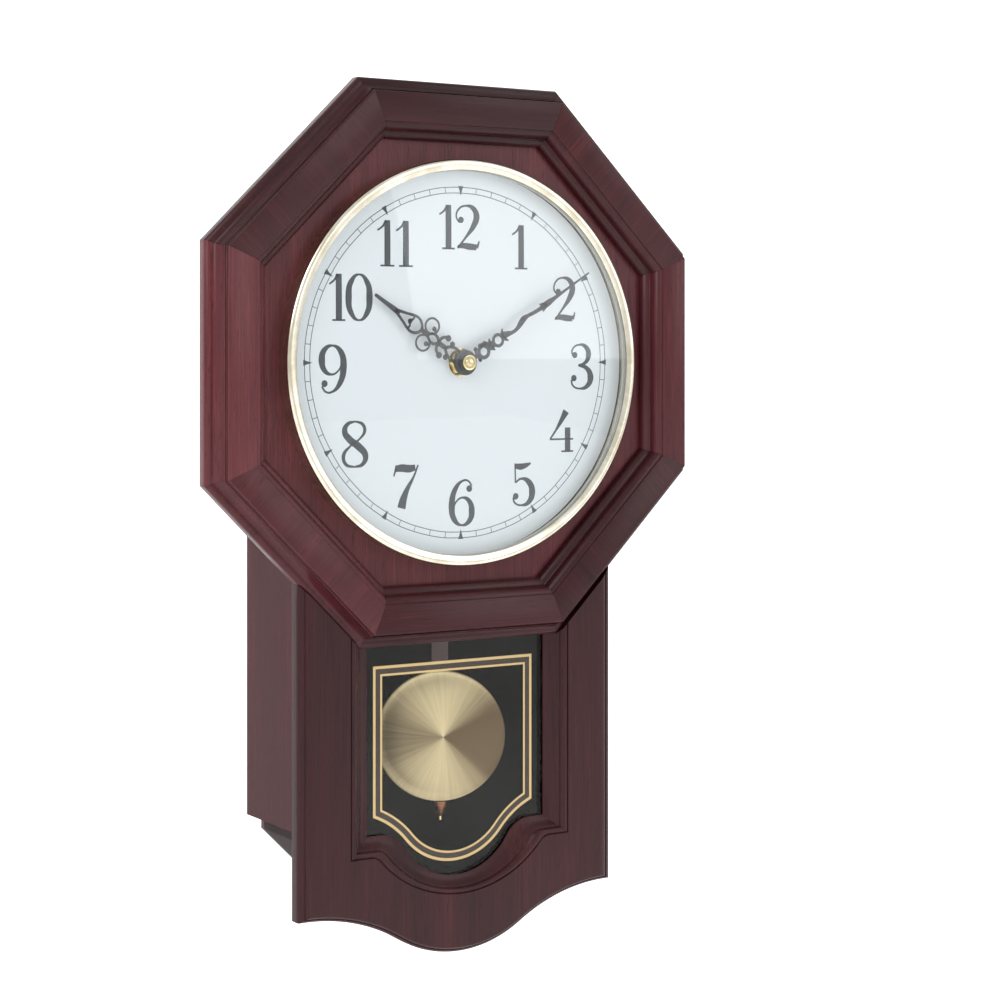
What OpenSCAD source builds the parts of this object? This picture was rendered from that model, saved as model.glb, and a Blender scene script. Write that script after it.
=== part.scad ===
// Octagonal wall clock with a drop case and a pendulum window.
// Every shape is drawn as if the clock lay on its back: X to the right, Y up the
// dial and Z out of the wall. on_wall() then hangs it up, with +Z up, the front
// facing -Y and the origin at the keyhole of the hanger.

/* [Octagon frame] */
// Width of the octagon over its flats
octagon_w = 318; // [316:0.5:322]
// Height of the hanger's keyhole above the middle of the dial
hanger_rise = 70; // [69:0.5:71]
// Distance of the back of the octagon frame from the wall
box_d = 57; // [56:0.5:58]
// Thickness of the octagon frame from back to front
rail_t = 19.5; // [19:0.5:20]
// Width of the moulded frame, from its outer edge to the dial panel
rail_w = 34; // [33:0.5:35]
// Thickness of the dial panel
panel_t = 7; // [6.5:0.1:7]

/* [Box] */
// Width of the box over its two sides
box_w = 207; // [205:0.5:208]
// Height of the box's top above the middle of the dial
box_top = 95; // [94:0.5:96]
// Depth of the box's bottom below the middle of the dial
box_bottom = 257.7; // [256:0.1:260]
// Thickness of the sides and the top
board_t = 9; // [8.5:0.5:9]
// Thickness of the back board
back_t = 4; // [3.5:0.5:4]

/* [Drop frame] */
// Thickness of the board with the window
drop_t = 10; // [9.5:0.1:10.5]
// Depth of the lowest point of the board below the middle of the dial
drop_low = 335.4; // [334:0.1:337]
// Depth of the board's lower corners below the middle of the dial
drop_corner = 306.4; // [305:0.1:307]
// Half width of the window where the glass shows
window_x = 58.9; // [58:0.1:60]

/* [Dial] */
// Radius of the dial plate
dial_r = 110.5; // [110:0.1:110.8]
// Outer radius of the bezel
bezel_r = 115.4; // [115:0.1:116]
// Height of the glass's dome over its edge
dome_h = 8.5; // [7:0.5:9]
// Length of the minute hand
minute_len = 99; // [90:1:99]
// Length of the hour hand
hour_len = 69.5; // [60:0.5:72]
// Angle of the minute hand, clockwise from twelve
minute_angle = 57.8; // [0:0.1:360]
// Angle of the hour hand, clockwise from twelve
hour_angle = 303.2; // [0:0.1:360]

/* [Pendulum] */
// Depth of the pendulum's pivot below the middle of the dial
pivot_drop = 58; // [57:0.5:59]
// Depth of the middle of the bob below the middle of the dial
bob_drop = 216.5; // [214:0.5:218]
// Radius of the bob
bob_r = 37.8; // [34:0.1:38]
// Width of the pendulum's flat rod
rod_w = 9.5; // [8:0.5:10]

/* [Hidden] */
$fn = 64;

RAILS = ["rail_right", "rail_top_right", "rail_top", "rail_top_left",
         "rail_left", "rail_bottom_left", "rail_bottom", "rail_bottom_right"];

WOOD = [0.30, 0.17, 0.16];
DARK_WOOD = [0.22, 0.12, 0.11];
HARDBOARD = [0.36, 0.27, 0.22];
GOLD = [0.85, 0.78, 0.58];
BRASS = [0.80, 0.68, 0.38];
STEEL = [0.66, 0.67, 0.69];
BLACK = [0.08, 0.08, 0.09];
PLASTIC = [0.16, 0.16, 0.17];

// Clearances: a fit that turns, and a gap between pieces that only pass each other
run_gap = 0.06;
pass_gap = 0.3;
eps = 0.01;

octagon_r = octagon_w / 2;
rail_front = box_d + rail_t;
panel_front = box_d + panel_t;
rebate_r = octagon_r - rail_w + 9;
drop_front = box_d + drop_t;
drop_x = box_w / 2 + 0.2;
// The drop frame's tongue behind the lower rails
lap_t = 6;
lap_top = rebate_r + 0.2;

side_x = box_w / 2 - board_t;
back_tongue = 266.4;
back_low = 310;
bottom_top = 252;
bottom_t = 4.5;
access_x = 72;
access_top = 52;
access_bottom = -62;

// Lower edge of the drop frame: a round lobe that runs into two hollow shoulders
lobe_r = 75;
shoulder_x = 100;
lobe_drop = drop_low - drop_corner;
lobe_angle = 2 * atan(lobe_drop / shoulder_x);
shoulder_r = shoulder_x / sin(lobe_angle) - lobe_r;

// Window: its top, and at its inner edge and at the groove around it the half width,
// the depth of the corners and of the lowest point, the lobe's radius and its shoulder
window_top = 148;
window_inner = [window_x, 264.8, 292.6, 40, 50];
window_outer = [window_x + 13.3, 275.3, 302, 71.2, 58.7];
window_flare = 0.58;
rebate_t = 2.4;
glass_t = 2;

dial_t = 0.6;
dial_front = panel_front + dial_t;
glass_r = 110.2;
glass_edge = 71.4;
bezel_front = 75;

// Movement: a two-part plastic case behind the dial panel
move_x = 64;
move_top = 42;
move_low = -50;
move_back = 25;
move_split = 40;
move_front = 55;
wall_t = 1.8;

// Motion work: 10 and 30 teeth, then 8 and 32 teeth, one module for both pairs
tooth_m = 0.4;
pinion_teeth = 10;
wheel_teeth = 30;
small_teeth = 8;
hour_teeth = 32;
post_y = tooth_m * (pinion_teeth + wheel_teeth) / 2;

arbor_r = 1.45;
arbor_back = 18.5;
tube_r = 2.55;
bush_r = 4;
bush_bore = tube_r + run_gap;
bush_top = 67.9;
hour_hand_z = 68.4;
minute_hand_z = 71.6;
hand_t = 0.6;

cell_r = 7.1;
cell_len = 50.5;
cell_z = 34.6;
cell_y = -4;
cell_places = [34, 51];
bay = [24, 62, -35, 26.5];
bay_floor = 42.4;

speaker_place = [-40, -4];
speaker_r = 20;
switch_y = 33;
switch_travel = 2.5;

hook_z = 38;
pivot_x = 2;
hook_y = -76;
rod_t = 1;
rod_end = -212;
bob_twist = -24;
bob_z = 1.4;
bob_t = 6.6;
hanger_z = hook_z - 6.5;
hanger_t = 2;
screw_low = -265.5;
screw_r = 1.1;

block_places = [[40, 78], [-112, -74], [-250, -212]];
clip_places = [[-66.5, -185, 0], [-66.5, -240, 0], [66.5, -185, 180], [66.5, -240, 180],
               [0, -298.9, 90], [0, -140.5, 270]];
clip_screw_r = 1.1;
bezel_screw_angles = [90, 240, 300];
bezel_screw_ring = 113.2;
back_screw_places = [[-88, 60], [88, 60], [-88, -100], [88, -100], [-88, -240], [88, -240]];

module on_wall() {
    translate([0, 0, -hanger_rise]) rotate([90, 0, 0]) children();
}

// A flat shape between two distances from the wall
module slab(from, to) {
    translate([0, 0, from]) linear_extrude(to - from) children();
}

// A round bar standing on the wall's plane
module bar(place, r, from, to) {
    translate([place.x, place.y, from]) cylinder(r = r, h = to - from);
}

module block(from, to) {
    translate(from) cube(to - from);
}

module octagon(apothem) {
    rotate(22.5) circle(r = apothem / cos(22.5), $fn = 8);
}

// Points on a stretch of an ellipse
function bow(centre, radii, from, to, steps = 6) = [
    for (i = [0:steps])
        let (a = from + (to - from) * i / steps)
        [centre.x + radii.x * cos(a), centre.y + radii.y * sin(a)]
];

// ---- Octagon frame ----

// Section of a rail: distance from the dial's middle, distance from the wall.
// Outside a round shoulder, a cove and a fillet, inside two stepped ovolos.
function rail_section() = let (r = octagon_r, f = rail_front) concat(
    [[rebate_r, box_d], [r, box_d]],
    bow([r - 3.1, box_d + 5], [3.1, 3.1], 0, 90),
    bow([r - 3.6, f - 2.7], [3.6, 8.7], 270, 180),
    [[r - 8.4, f - 2.7], [r - 8.4, f - 0.6], [r - 9.1, f]],
    [[r - 25.2, f], [r - 25.2, f - 1.1]],
    bow([r - 25.6, f - 5.9], [4, 4.8], 90, 180),
    [[r - 29.6, f - 7]],
    bow([r - 30.2, f - 10.4], [3.8, 3.4], 90, 180),
    [[r - rail_w, panel_front], [rebate_r, panel_front]]
);

// One of the eight mitred rails; the lower ones are thinned for the drop frame
module rail(i) {
    wedge = octagon_r * 1.1;
    color(WOOD)
        difference() {
            intersection() {
                rotate([0, 0, 45 * i])
                    translate([0, octagon_r / 2, 0])
                    rotate([90, 0, 0])
                    linear_extrude(octagon_r)
                    polygon(rail_section());
                rotate([0, 0, 45 * i])
                    slab(box_d - 1, rail_front + 1)
                    polygon([[0, 0], [wedge, -wedge * tan(22.5)], [wedge, wedge * tan(22.5)]]);
            }
            block([-drop_x - eps, -octagon_r - 1, box_d - 1],
                  [drop_x + eps, -lap_top, box_d + lap_t]);
        }
}

module dial_panel() {
    color(DARK_WOOD)
        difference() {
            slab(box_d, panel_front) octagon(rebate_r - 0.1);
            bar([0, 0], bush_r + 0.3, box_d - 1, panel_front + 1);
            for (a = bezel_screw_angles)
                bar(bezel_screw_ring * [cos(a), sin(a)], 1.4, box_d - 1, panel_front + 1);
        }
}

// ---- Drop frame ----

// Right half of the lower edge, moved in by inset
function lobe_edge(inset) = concat(
    bow([0, lobe_r - drop_low], [1, 1] * (lobe_r - inset), -90, -90 + lobe_angle, 10),
    bow([shoulder_x, -drop_corner - shoulder_r], [1, 1] * (shoulder_r + inset),
        90 + lobe_angle, 90, 10),
    [[drop_x, -drop_corner + inset]]
);

module drop_outline(inset) {
    edge = lobe_edge(inset);
    polygon(concat(edge, [[drop_x, -100], [0, -100]]));
    mirror([1, 0]) polygon(concat(edge, [[drop_x, -100], [0, -100]]));
}

// Section of the board across its width: two beads along each side
function side_section() = let (x = drop_x, f = drop_front) concat(
    [[0, box_d], [x, box_d]],
    bow([x - 3.4, box_d + 5], [3.4, 3.4], 0, 90),
    [[x - 3.9, f - 2]],
    bow([x - 8.4, f - 2], [4.5, 2], 0, 90),
    [[0, f]]
);

// Right half of the window's lower edge: 0 at its inner edge, 1 at the groove
function window_edge(t) = let (
    e = window_inner + t * (window_outer - window_inner),
    angle = 2 * atan((e[2] - e[1]) / e[4]),
    bend = e[4] / sin(angle) - e[3]
) concat(
    bow([0, e[3] - e[2]], [1, 1] * e[3], -90, -90 + angle, 10),
    bow([e[4], -e[1] - bend], [1, 1] * bend, 90 + angle, 90, 6),
    [[e[0], -e[1]], [e[0], -window_top + 8 * t], [0, -window_top + 8 * t]]
);

module window_shape(t) {
    polygon(window_edge(t));
    mirror([1, 0]) polygon(window_edge(t));
}

module drop_frame() {
    bevel_steps = 4;
    bevel = 2.8;
    flare_steps = 4;
    flare_z = box_d + 4;
    color(WOOD)
        difference() {
            intersection() {
                for (side = [0, 1])
                    mirror([side, 0, 0])
                    translate([0, -100, 0])
                    rotate([90, 0, 0])
                    linear_extrude(drop_low)
                    polygon(side_section());
                union() {
                    slab(box_d, drop_front - bevel) drop_outline(0);
                    for (i = [1:bevel_steps])
                        slab(box_d, drop_front - bevel * (1 - i / bevel_steps))
                        drop_outline(bevel * i / bevel_steps);
                }
            }
            // Tongue behind the octagon frame
            slab(box_d + lap_t, drop_front + 1) octagon(octagon_r);
            slab(box_d - 1, drop_front + 1)
                intersection() {
                    octagon(octagon_r);
                    translate([-octagon_r, -lap_top]) square(2 * octagon_r);
                }
            // Window, its flare, its groove and the rebate of the glass
            slab(box_d - 1, drop_front + 1) window_shape(0);
            for (i = [1:flare_steps])
                slab(flare_z + (drop_front - flare_z) * (i - 0.5) / flare_steps, drop_front + 1)
                window_shape(window_flare * i / flare_steps);
            slab(drop_front - 0.8, drop_front + 1)
                difference() {
                    window_shape(1.03);
                    window_shape(0.96);
                }
            slab(box_d - 1, box_d + rebate_t) window_shape(0.32);
            for (p = clip_places)
                bar([p.x, p.y] + 3.2 * [-cos(p.z), -sin(p.z)], clip_screw_r + 0.02,
                    box_d - 1, box_d + 5);
        }
}

// ---- Box ----

module side(right) {
    x = right ? side_x : -side_x - board_t;
    color(WOOD)
        difference() {
            block([x, -box_bottom, 0], [x + board_t, box_top, box_d]);
            for (p = back_screw_places)
                if (sign(p.x) == (right ? 1 : -1))
                    translate([side_x * sign(p.x), p.y, back_t / 2])
                    rotate([0, 90, 0])
                    cylinder(r = 0.9, h = 10, center = true);
        }
}

module left_side() { side(false); }

module right_side() { side(true); }

module case_top() {
    color(WOOD)
        block([-side_x, box_top - board_t, 0], [side_x, box_top, box_d]);
}

module keyhole_pocket() {
    translate([-7, -7]) square([14, 23]);
}

// The three boards that close the box below: two at 45 degrees and one level
module bottom_shape(inset) {
    x = side_x - inset;
    low = back_low - inset;
    corner = back_tongue - inset * tan(22.5);
    cut = low - corner;
    top = bottom_top - inset;
    polygon([[-x, -top], [x, -top], [x, -corner], [x - cut, -low],
             [cut - x, -low], [-x, -corner]]);
}

module case_bottom() {
    color(HARDBOARD)
        slab(back_t, box_d)
        difference() {
            bottom_shape(0);
            bottom_shape(bottom_t);
        }
}

module back_board() {
    cut = back_low - back_tongue;
    color(HARDBOARD)
        difference() {
            slab(0, back_t)
                polygon([
                    [-side_x, box_top - board_t], [side_x, box_top - board_t],
                    [side_x, -back_tongue], [side_x - cut, -back_low],
                    [cut - side_x, -back_low], [-side_x, -back_tongue]
                ]);
            block([-access_x, access_bottom, -1], [access_x, access_top, back_t + 1]);
            // The hanger plate is let in flush, with a pocket for the head of the nail
            slab(-1, hanger_plate_t) hanger_outline(0.1);
            translate([0, hanger_rise, 0]) slab(-1, back_t + 1) keyhole_pocket();
            for (s = [-1, 1])
                bar([s * hanger_screw_x, hanger_rise + 3], 1.15, -1, back_t + 1);
            for (p = back_screw_places)
                translate([side_x * sign(p.x), p.y, back_t / 2])
                rotate([0, 90, 0])
                cylinder(r = 0.9, h = 24, center = true);
        }
}

module corner_blocks() {
    leg = 12;
    color(WOOD)
        for (s = [0, 1], span = block_places)
            mirror([s, 0, 0])
            translate([side_x, span[1], box_d])
            rotate([90, 0, 0])
            linear_extrude(span[1] - span[0])
            polygon([[0, 0], [-leg, 0], [0, -leg]]);
}

// Panel pins that hold the back board between the sides
module back_screws() {
    color(STEEL)
        for (p = back_screw_places)
            translate([sign(p.x) * (side_x - 3), p.y, back_t / 2])
            rotate([0, 90, 0])
            cylinder(r = 0.85, h = 12, center = true);
}

// ---- Window ----

module window_glass() {
    color([0.75, 0.82, 0.84, 0.35])
        slab(box_d + 0.2, box_d + 0.2 + glass_t) window_shape(0.29);
}

module glass_clips() {
    color(STEEL)
        for (p = clip_places)
            translate([p.x, p.y, 0])
            rotate(p.z)
            difference() {
                block([-6, -4, box_d - 1], [6, 4, box_d]);
                bar([-3.2, 0], clip_screw_r + 0.2, box_d - 2, box_d + 1);
            }
}

module clip_screws() {
    color(BRASS)
        for (p = clip_places)
            translate([p.x, p.y, 0])
            rotate(p.z) {
                bar([-3.2, 0], clip_screw_r, box_d - 1, box_d + 4.8);
                bar([-3.2, 0], 2.3, box_d - 2, box_d - 1);
            }
}

// ---- Dial and bezel ----

function bezel_section() = concat(
    [[dial_r + 0.5, panel_front], [bezel_r, panel_front]],
    bow([bezel_r - 1.8, bezel_front - 1.8], [1.8, 1.8], 0, 90),
    [[glass_r - 1, bezel_front - 0.9],
     [glass_r - 1, glass_edge + glass_t + 0.3], [glass_r + 0.1, glass_edge + glass_t + 0.3],
     [glass_r + 0.1, glass_edge - 0.1], [dial_r + 0.5, glass_edge - 0.1]]
);

module bezel() {
    color(GOLD)
        difference() {
            rotate_extrude($fn = 128) polygon(bezel_section());
            for (a = bezel_screw_angles)
                bar(bezel_screw_ring * [cos(a), sin(a)], 1.22, panel_front - 1, panel_front + 5.5);
        }
}

module bezel_screws() {
    color(STEEL)
        for (a = bezel_screw_angles) {
            bar(bezel_screw_ring * [cos(a), sin(a)], 1.2, box_d, panel_front + 5);
            bar(bezel_screw_ring * [cos(a), sin(a)], 2.8, box_d - 1.5, box_d);
        }
}

module dial_glass() {
    ball = (glass_r * glass_r + dome_h * dome_h) / (2 * dome_h);
    color([0.85, 0.9, 0.92, 0.3])
        intersection() {
            difference() {
                translate([0, 0, glass_edge + glass_t + dome_h - ball])
                    sphere(r = ball, $fn = 256);
                translate([0, 0, glass_edge + dome_h - ball]) sphere(r = ball, $fn = 256);
            }
            bar([0, 0], glass_r, glass_edge, glass_edge + glass_t + dome_h + 1);
        }
}

module glass_seal() {
    color(BLACK)
        difference() {
            bar([0, 0], dial_r + 0.4, glass_edge - 1.6, glass_edge - 0.1);
            bar([0, 0], glass_r - 1.2, glass_edge - 2, glass_edge + 1);
        }
}

module dial_plate() {
    color([0.88, 0.90, 0.92])
        difference() {
            bar([0, 0], dial_r, panel_front, dial_front);
            bar([0, 0], bush_r + 0.2, panel_front - 1, dial_front + 1);
        }
}

// ---- Hanger ----

hanger_plate_t = 1.2;
hanger_screw_x = 19;
keyhole_r = 4.5;
keyhole_slot = 4.5;

module hanger_outline(grow) {
    translate([-24 - grow, hanger_rise - 9 - grow]) square([48 + 2 * grow, 24 + 2 * grow]);
}

module hanger_plate() {
    color(STEEL)
        difference() {
            slab(0, hanger_plate_t) hanger_outline(0);
            bar([0, hanger_rise], keyhole_r, -1, hanger_plate_t + 1);
            block([-keyhole_slot / 2, hanger_rise, -1],
                  [keyhole_slot / 2, hanger_rise + 9, hanger_plate_t + 1]);
            bar([0, hanger_rise + 9], keyhole_slot / 2, -1, hanger_plate_t + 1);
            for (s = [-1, 1])
                bar([s * hanger_screw_x, hanger_rise + 3], 1.4, -1, hanger_plate_t + 1);
        }
}

// Rivets with flat heads inside the case
module hanger_screws() {
    color(STEEL)
        for (s = [-1, 1]) {
            bar([s * hanger_screw_x, hanger_rise + 3], 1.1, 0, back_t);
            bar([s * hanger_screw_x, hanger_rise + 3], 3, back_t, back_t + 1.2);
        }
}

// ---- Movement ----

// An open box with walls, from one distance to another, closed at its floor
module tray(from, to, floor_from, floor_to) {
    difference() {
        block([-move_x, move_low, from], [move_x, move_top, to]);
        block([wall_t - move_x, move_low + wall_t, floor_from],
              [move_x - wall_t, move_top - wall_t, floor_to]);
    }
}

module movement_case() {
    color(PLASTIC)
        difference() {
            tray(move_split, move_front, move_split - 1, move_front - wall_t);
            bar([0, 0], bush_r + 0.02, move_split, move_front + 1);
        }
}

module switch_slot(x) {
    block([x - 2 - switch_travel - pass_gap, switch_y - 2, move_back - 1],
          [x + 2 + switch_travel + pass_gap, switch_y + 2, move_back + wall_t + 1]);
}

module movement_cover() {
    color(PLASTIC) {
        difference() {
            tray(move_back, move_split, move_back + wall_t, move_split + 1);
            block([bay[0] + 1.5, bay[2] + 1.5, move_back - 1],
                  [bay[1] - 1.5, bay[3] - 1.5, move_back + wall_t + 1]);
            bar([0, 0], arbor_r + 0.3, move_back - 1, move_back + wall_t + 1);
            for (x = [-32, -10]) switch_slot(x);
            for (a = [0:60:300])
                bar(speaker_place + 10 * [cos(a), sin(a)], 2.5, move_back - 1, move_back + wall_t + 1);
            bar(speaker_place, 2.5, move_back - 1, move_back + wall_t + 1);
        }
        // Tray of the battery bay
        difference() {
            block([bay[0], bay[2], move_back + wall_t - eps], [bay[1], bay[3], bay_floor + 1.4]);
            block([bay[0] + 1.5, bay[2] + 1.5, move_back], [bay[1] - 1.5, bay[3] - 1.5, bay_floor]);
        }
    }
}

module threaded_bush() {
    color(BRASS)
        difference() {
            union() {
                bar([0, 0], bush_r, move_front - wall_t, bush_top);
                bar([0, 0], bush_r + 2.5, move_front - wall_t - 1.5, move_front - wall_t);
            }
            bar([0, 0], bush_bore, move_front - 10, bush_top + 1);
        }
}

module rubber_washer() {
    color(BLACK)
        difference() {
            bar([0, 0], 13, move_front, box_d);
            bar([0, 0], bush_r + 0.2, move_front - 1, box_d + 1);
        }
}

module bush_washer() {
    color(BRASS)
        difference() {
            bar([0, 0], 8.2, dial_front, dial_front + 0.6);
            bar([0, 0], bush_r + 0.1, dial_front - 1, dial_front + 2);
        }
}

module bush_nut() {
    color(BRASS)
        difference() {
            slab(dial_front + 0.6, dial_front + 2.8) circle(r = 6.9, $fn = 6);
            bar([0, 0], bush_r + 0.02, dial_front - 1, dial_front + 4);
        }
}

// Closed module that holds the stepping motor and its reduction train
module drive_module() {
    color([0.75, 0.75, 0.72])
        difference() {
            block([-18, -20, 30], [18, 20, 44.5]);
            bar([0, 0], arbor_r + 0.3, 29, 46);
        }
}

module speaker() {
    color([0.25, 0.25, 0.26])
        translate([speaker_place.x, speaker_place.y, 0])
        difference() {
            union() {
                bar([0, 0], speaker_r, move_back + wall_t, move_back + wall_t + 2);
                translate([0, 0, move_back + wall_t + 2])
                    cylinder(r1 = speaker_r - 2, r2 = 9, h = 5);
                bar([0, 0], 9, move_back + wall_t + 7, move_back + wall_t + 14);
            }
            bar([0, 0], speaker_r - 4, move_back, move_back + wall_t + 1.2);
        }
}

module circuit_board() {
    color([0.10, 0.35, 0.20]) {
        block([21, -44, 47], [60, 38, 48.6]);
        block([30, -12, 48.6], [44, 2, 50.6]);
    }
}

module pendulum_coil() {
    color([0.62, 0.33, 0.16])
        translate([pivot_x, move_low + wall_t + 0.2, hanger_z + hanger_t / 2])
        rotate([-90, 0, 0])
        difference() {
            union() {
                cylinder(r = 5.5, h = 1);
                cylinder(r = 4.6, h = 8);
                translate([0, 0, 8]) cylinder(r = 5.5, h = 1);
            }
            translate([0, 0, -1]) cylinder(r = 2, h = 12);
        }
}

// ---- Motion work ----

// A spur gear with straight-sided teeth and some backlash. The first tooth points to
// the right, turned on by a phase in teeth, so that each pair is in mesh.
module gear(teeth, from, to, phase) {
    pitch_r = tooth_m * teeth / 2;
    root_r = pitch_r - 0.46;
    tip_r = pitch_r + 0.30;
    pitch = 360 / teeth;
    slab(from, to) {
        circle(r = root_r);
        for (i = [0:teeth - 1])
            rotate((i + phase) * pitch)
            polygon([
                [root_r - 0.1, -root_r * sin(0.26 * pitch)],
                [tip_r, -tip_r * sin(0.12 * pitch)],
                [tip_r, tip_r * sin(0.12 * pitch)],
                [root_r - 0.1, root_r * sin(0.26 * pitch)]
            ]);
    }
}

module intermediate_post() {
    color(STEEL) {
        bar([0, post_y], 0.8, 44.5, 53.2);
        bar([0, post_y], 1.8, 44.5, 46);
    }
}

module intermediate_wheel() {
    color([0.9, 0.88, 0.8])
        translate([0, post_y, 0])
        difference() {
            union() {
                gear(wheel_teeth, 46.4, 47.8, 0.5);
                gear(small_teeth, 47.8 - eps, 50.6, 0.5);
            }
            bar([0, 0], 0.8 + run_gap, 45, 52);
        }
}

module hour_wheel() {
    color([0.9, 0.88, 0.8])
        difference() {
            union() {
                gear(hour_teeth, 49, 50.4, 0);
                bar([0, 0], tube_r, 50.4 - eps, hour_hand_z + hand_t);
            }
            bar([0, 0], arbor_r + run_gap, 48, 72);
        }
}

module minute_arbor() {
    color(STEEL) {
        bar([0, 0], arbor_r, arbor_back, minute_hand_z);
        bar([0, 0], 1.1, minute_hand_z - eps, minute_hand_z + hand_t + 2.6);
        gear(pinion_teeth, 46.4, 48.2, 0);
    }
}

module setting_knob() {
    color(PLASTIC)
        difference() {
            union() {
                bar([0, 0], 8.5, arbor_back, arbor_back + 4);
                bar([0, 0], 4, arbor_back + 4 - eps, arbor_back + 6);
                for (a = [0:15:345])
                    bar(8.5 * [cos(a), sin(a)], 0.5, arbor_back, arbor_back + 4);
            }
            bar([0, 0], arbor_r, arbor_back - 1, arbor_back + 7);
        }
}

// ---- Batteries and switches ----

module batteries() {
    color([0.2, 0.32, 0.45])
        for (i = [0, 1])
            translate([cell_places[i], cell_y, cell_z])
            rotate([i == 0 ? -90 : 90, 0, 0]) {
                translate([0, 0, -cell_len / 2]) cylinder(r = cell_r, h = cell_len - 1.2);
                translate([0, 0, cell_len / 2 - 1.2 - eps]) cylinder(r = 2.7, h = 1.2);
            }
}

module battery_contacts() {
    color(STEEL)
        for (x = cell_places, end = [-1, 1]) {
            tip = cell_y + end * cell_len / 2;
            wall = end > 0 ? bay[3] - 1.5 : bay[2] + 1.5;
            block([x - 5, min(wall, wall - end * 0.5), cell_z - 5],
                  [x + 5, max(wall, wall - end * 0.5), cell_z + 5]);
            translate([x, min(tip + end * 0.3, wall - end * 0.5), cell_z])
                rotate([-90, 0, 0])
                cylinder(r = 2, h = abs(wall - end * 0.5 - tip - end * 0.3));
        }
}

module switch_button(x) {
    color([0.55, 0.12, 0.10]) {
        block([x - 2, switch_y - 1.7, move_back - 2], [x + 2, switch_y + 1.7, move_back + wall_t + 0.4]);
        block([x - 6, switch_y - 3.2, move_back + wall_t + 0.3],
              [x + 6, switch_y + 3.2, move_back + wall_t + 1.4]);
    }
}

module chime_switch() { switch_button(-32); }

module volume_switch() { switch_button(-10); }

// ---- Hands ----

// Openwork of the hour hand: a stem with two scrolls, two rings and a pierced leaf
module hour_shape() {
    difference() {
        union() {
            circle(r = 7.2);
            polygon([[-1.6, 6], [1.6, 6], [1.2, 34], [-1.2, 34]]);
            translate([-3.8, 11.2]) square([7.6, 1.6]);
            translate([-5.2, 15.7]) square([10.4, 1.6]);
            for (s = [-1, 1]) {
                translate([s * 4, 12]) circle(r = 1.7);
                translate([s * 5.4, 16.5]) circle(r = 1.4);
                difference() {
                    translate([s * 5.6, 29]) circle(r = 5);
                    translate([s * 5.6, 29]) circle(r = 3.9);
                }
            }
            polygon([
                [0, 32], [4.7, 40], [1.5, 51], [0.8, hour_len],
                [-0.8, hour_len], [-1.5, 51], [-4.7, 40]
            ]);
        }
        polygon([[0, 36], [2.9, 40], [0, 42.4], [-2.9, 40]]);
        polygon([[-1.5, 44], [1.5, 44], [0, 49]]);
        circle(r = tube_r);
    }
}

module hour_hand() {
    color(BLACK)
        rotate([0, 0, -hour_angle]) {
            slab(hour_hand_z, hour_hand_z + hand_t) hour_shape();
            slab(hour_hand_z + hand_t, hour_hand_z + 2.6)
                difference() {
                    circle(r = 7.2);
                    circle(r = tube_r);
                }
        }
}

module minute_hand() {
    color(BLACK)
        rotate([0, 0, -minute_angle])
        difference() {
            slab(minute_hand_z, minute_hand_z + hand_t) {
                circle(r = 5);
                translate([-1.5, 3]) square([3, 6]);
                for (y = [13, 23.5])
                    difference() {
                        translate([0, y]) circle(r = 5.4);
                        translate([0, y]) circle(r = 3.2);
                    }
                polygon([[-1.6, 28], [1.6, 28], [1.2, 60], [3.6, 64], [1, 74], [0.6, minute_len],
                         [-0.6, minute_len], [-1, 74], [-3.6, 64], [-1.2, 60]]);
            }
            bar([0, 0], 1.12, minute_hand_z - 1, minute_hand_z + 2);
        }
}

module cap_nut() {
    base = minute_hand_z + hand_t;
    color(BRASS)
        difference() {
            union() {
                bar([0, 0], 4.2, base, base + 2.6);
                translate([0, 0, base + 2.6 - eps]) cylinder(r1 = 4.2, r2 = 3, h = 1.4);
            }
            bar([0, 0], 1.12, base - 1, base + 2.7);
        }
}

// ---- Pendulum ----

module pendulum_bracket() {
    color(STEEL)
        difference() {
            union() {
                block([-9, move_low - 1.5, 26], [11, move_low, 42]);
                for (z = [hanger_z - 3.5, hanger_z + 4])
                    block([pivot_x - 4, -pivot_drop - 4, z], [pivot_x + 4, move_low - 1.4, z + 1.5]);
            }
            bar([pivot_x, -pivot_drop], 0.8, move_back, hook_z);
        }
}

module pivot_pin() {
    color(STEEL)
        bar([pivot_x, -pivot_drop], 0.8, hanger_z - 4, hanger_z + 6);
}

module pendulum_hanger() {
    front = hanger_z + hanger_t;
    color([0.85, 0.85, 0.82])
        translate([pivot_x, 0, 0])
        difference() {
            union() {
                block([-2.2, -54.5, hanger_z], [2.2, -53.6, front]);
                block([-3.2, -80, hanger_z], [3.2, -54.4, front]);
                bar([0, hook_y], 1, front - eps, hook_z + 3.4);
                bar([0, hook_y], 1.8, hook_z + 3.3, hook_z + 4.4);
            }
            bar([0, -pivot_drop], 0.8 + run_gap, hanger_z - 1, front + 1);
        }
}

module drive_magnet() {
    color(STEEL)
        translate([pivot_x, -53.6, hanger_z + hanger_t / 2])
        rotate([-90, 0, 0])
        cylinder(r = 1, h = 1.4);
}

// What hangs on the hook: Z is measured from the middle of the rod
module hung() {
    translate([pivot_x, 0, hook_z]) rotate([0, bob_twist, 0]) children();
}

module pendulum_rod() {
    color([0.42, 0.33, 0.31])
        hung()
        slab(-rod_t / 2, rod_t / 2)
        difference() {
            translate([-rod_w / 2, rod_end]) square([rod_w, hook_y + 6 - rod_end]);
            translate([0, hook_y - 1.1]) circle(r = 2.2);
        }
}

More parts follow.
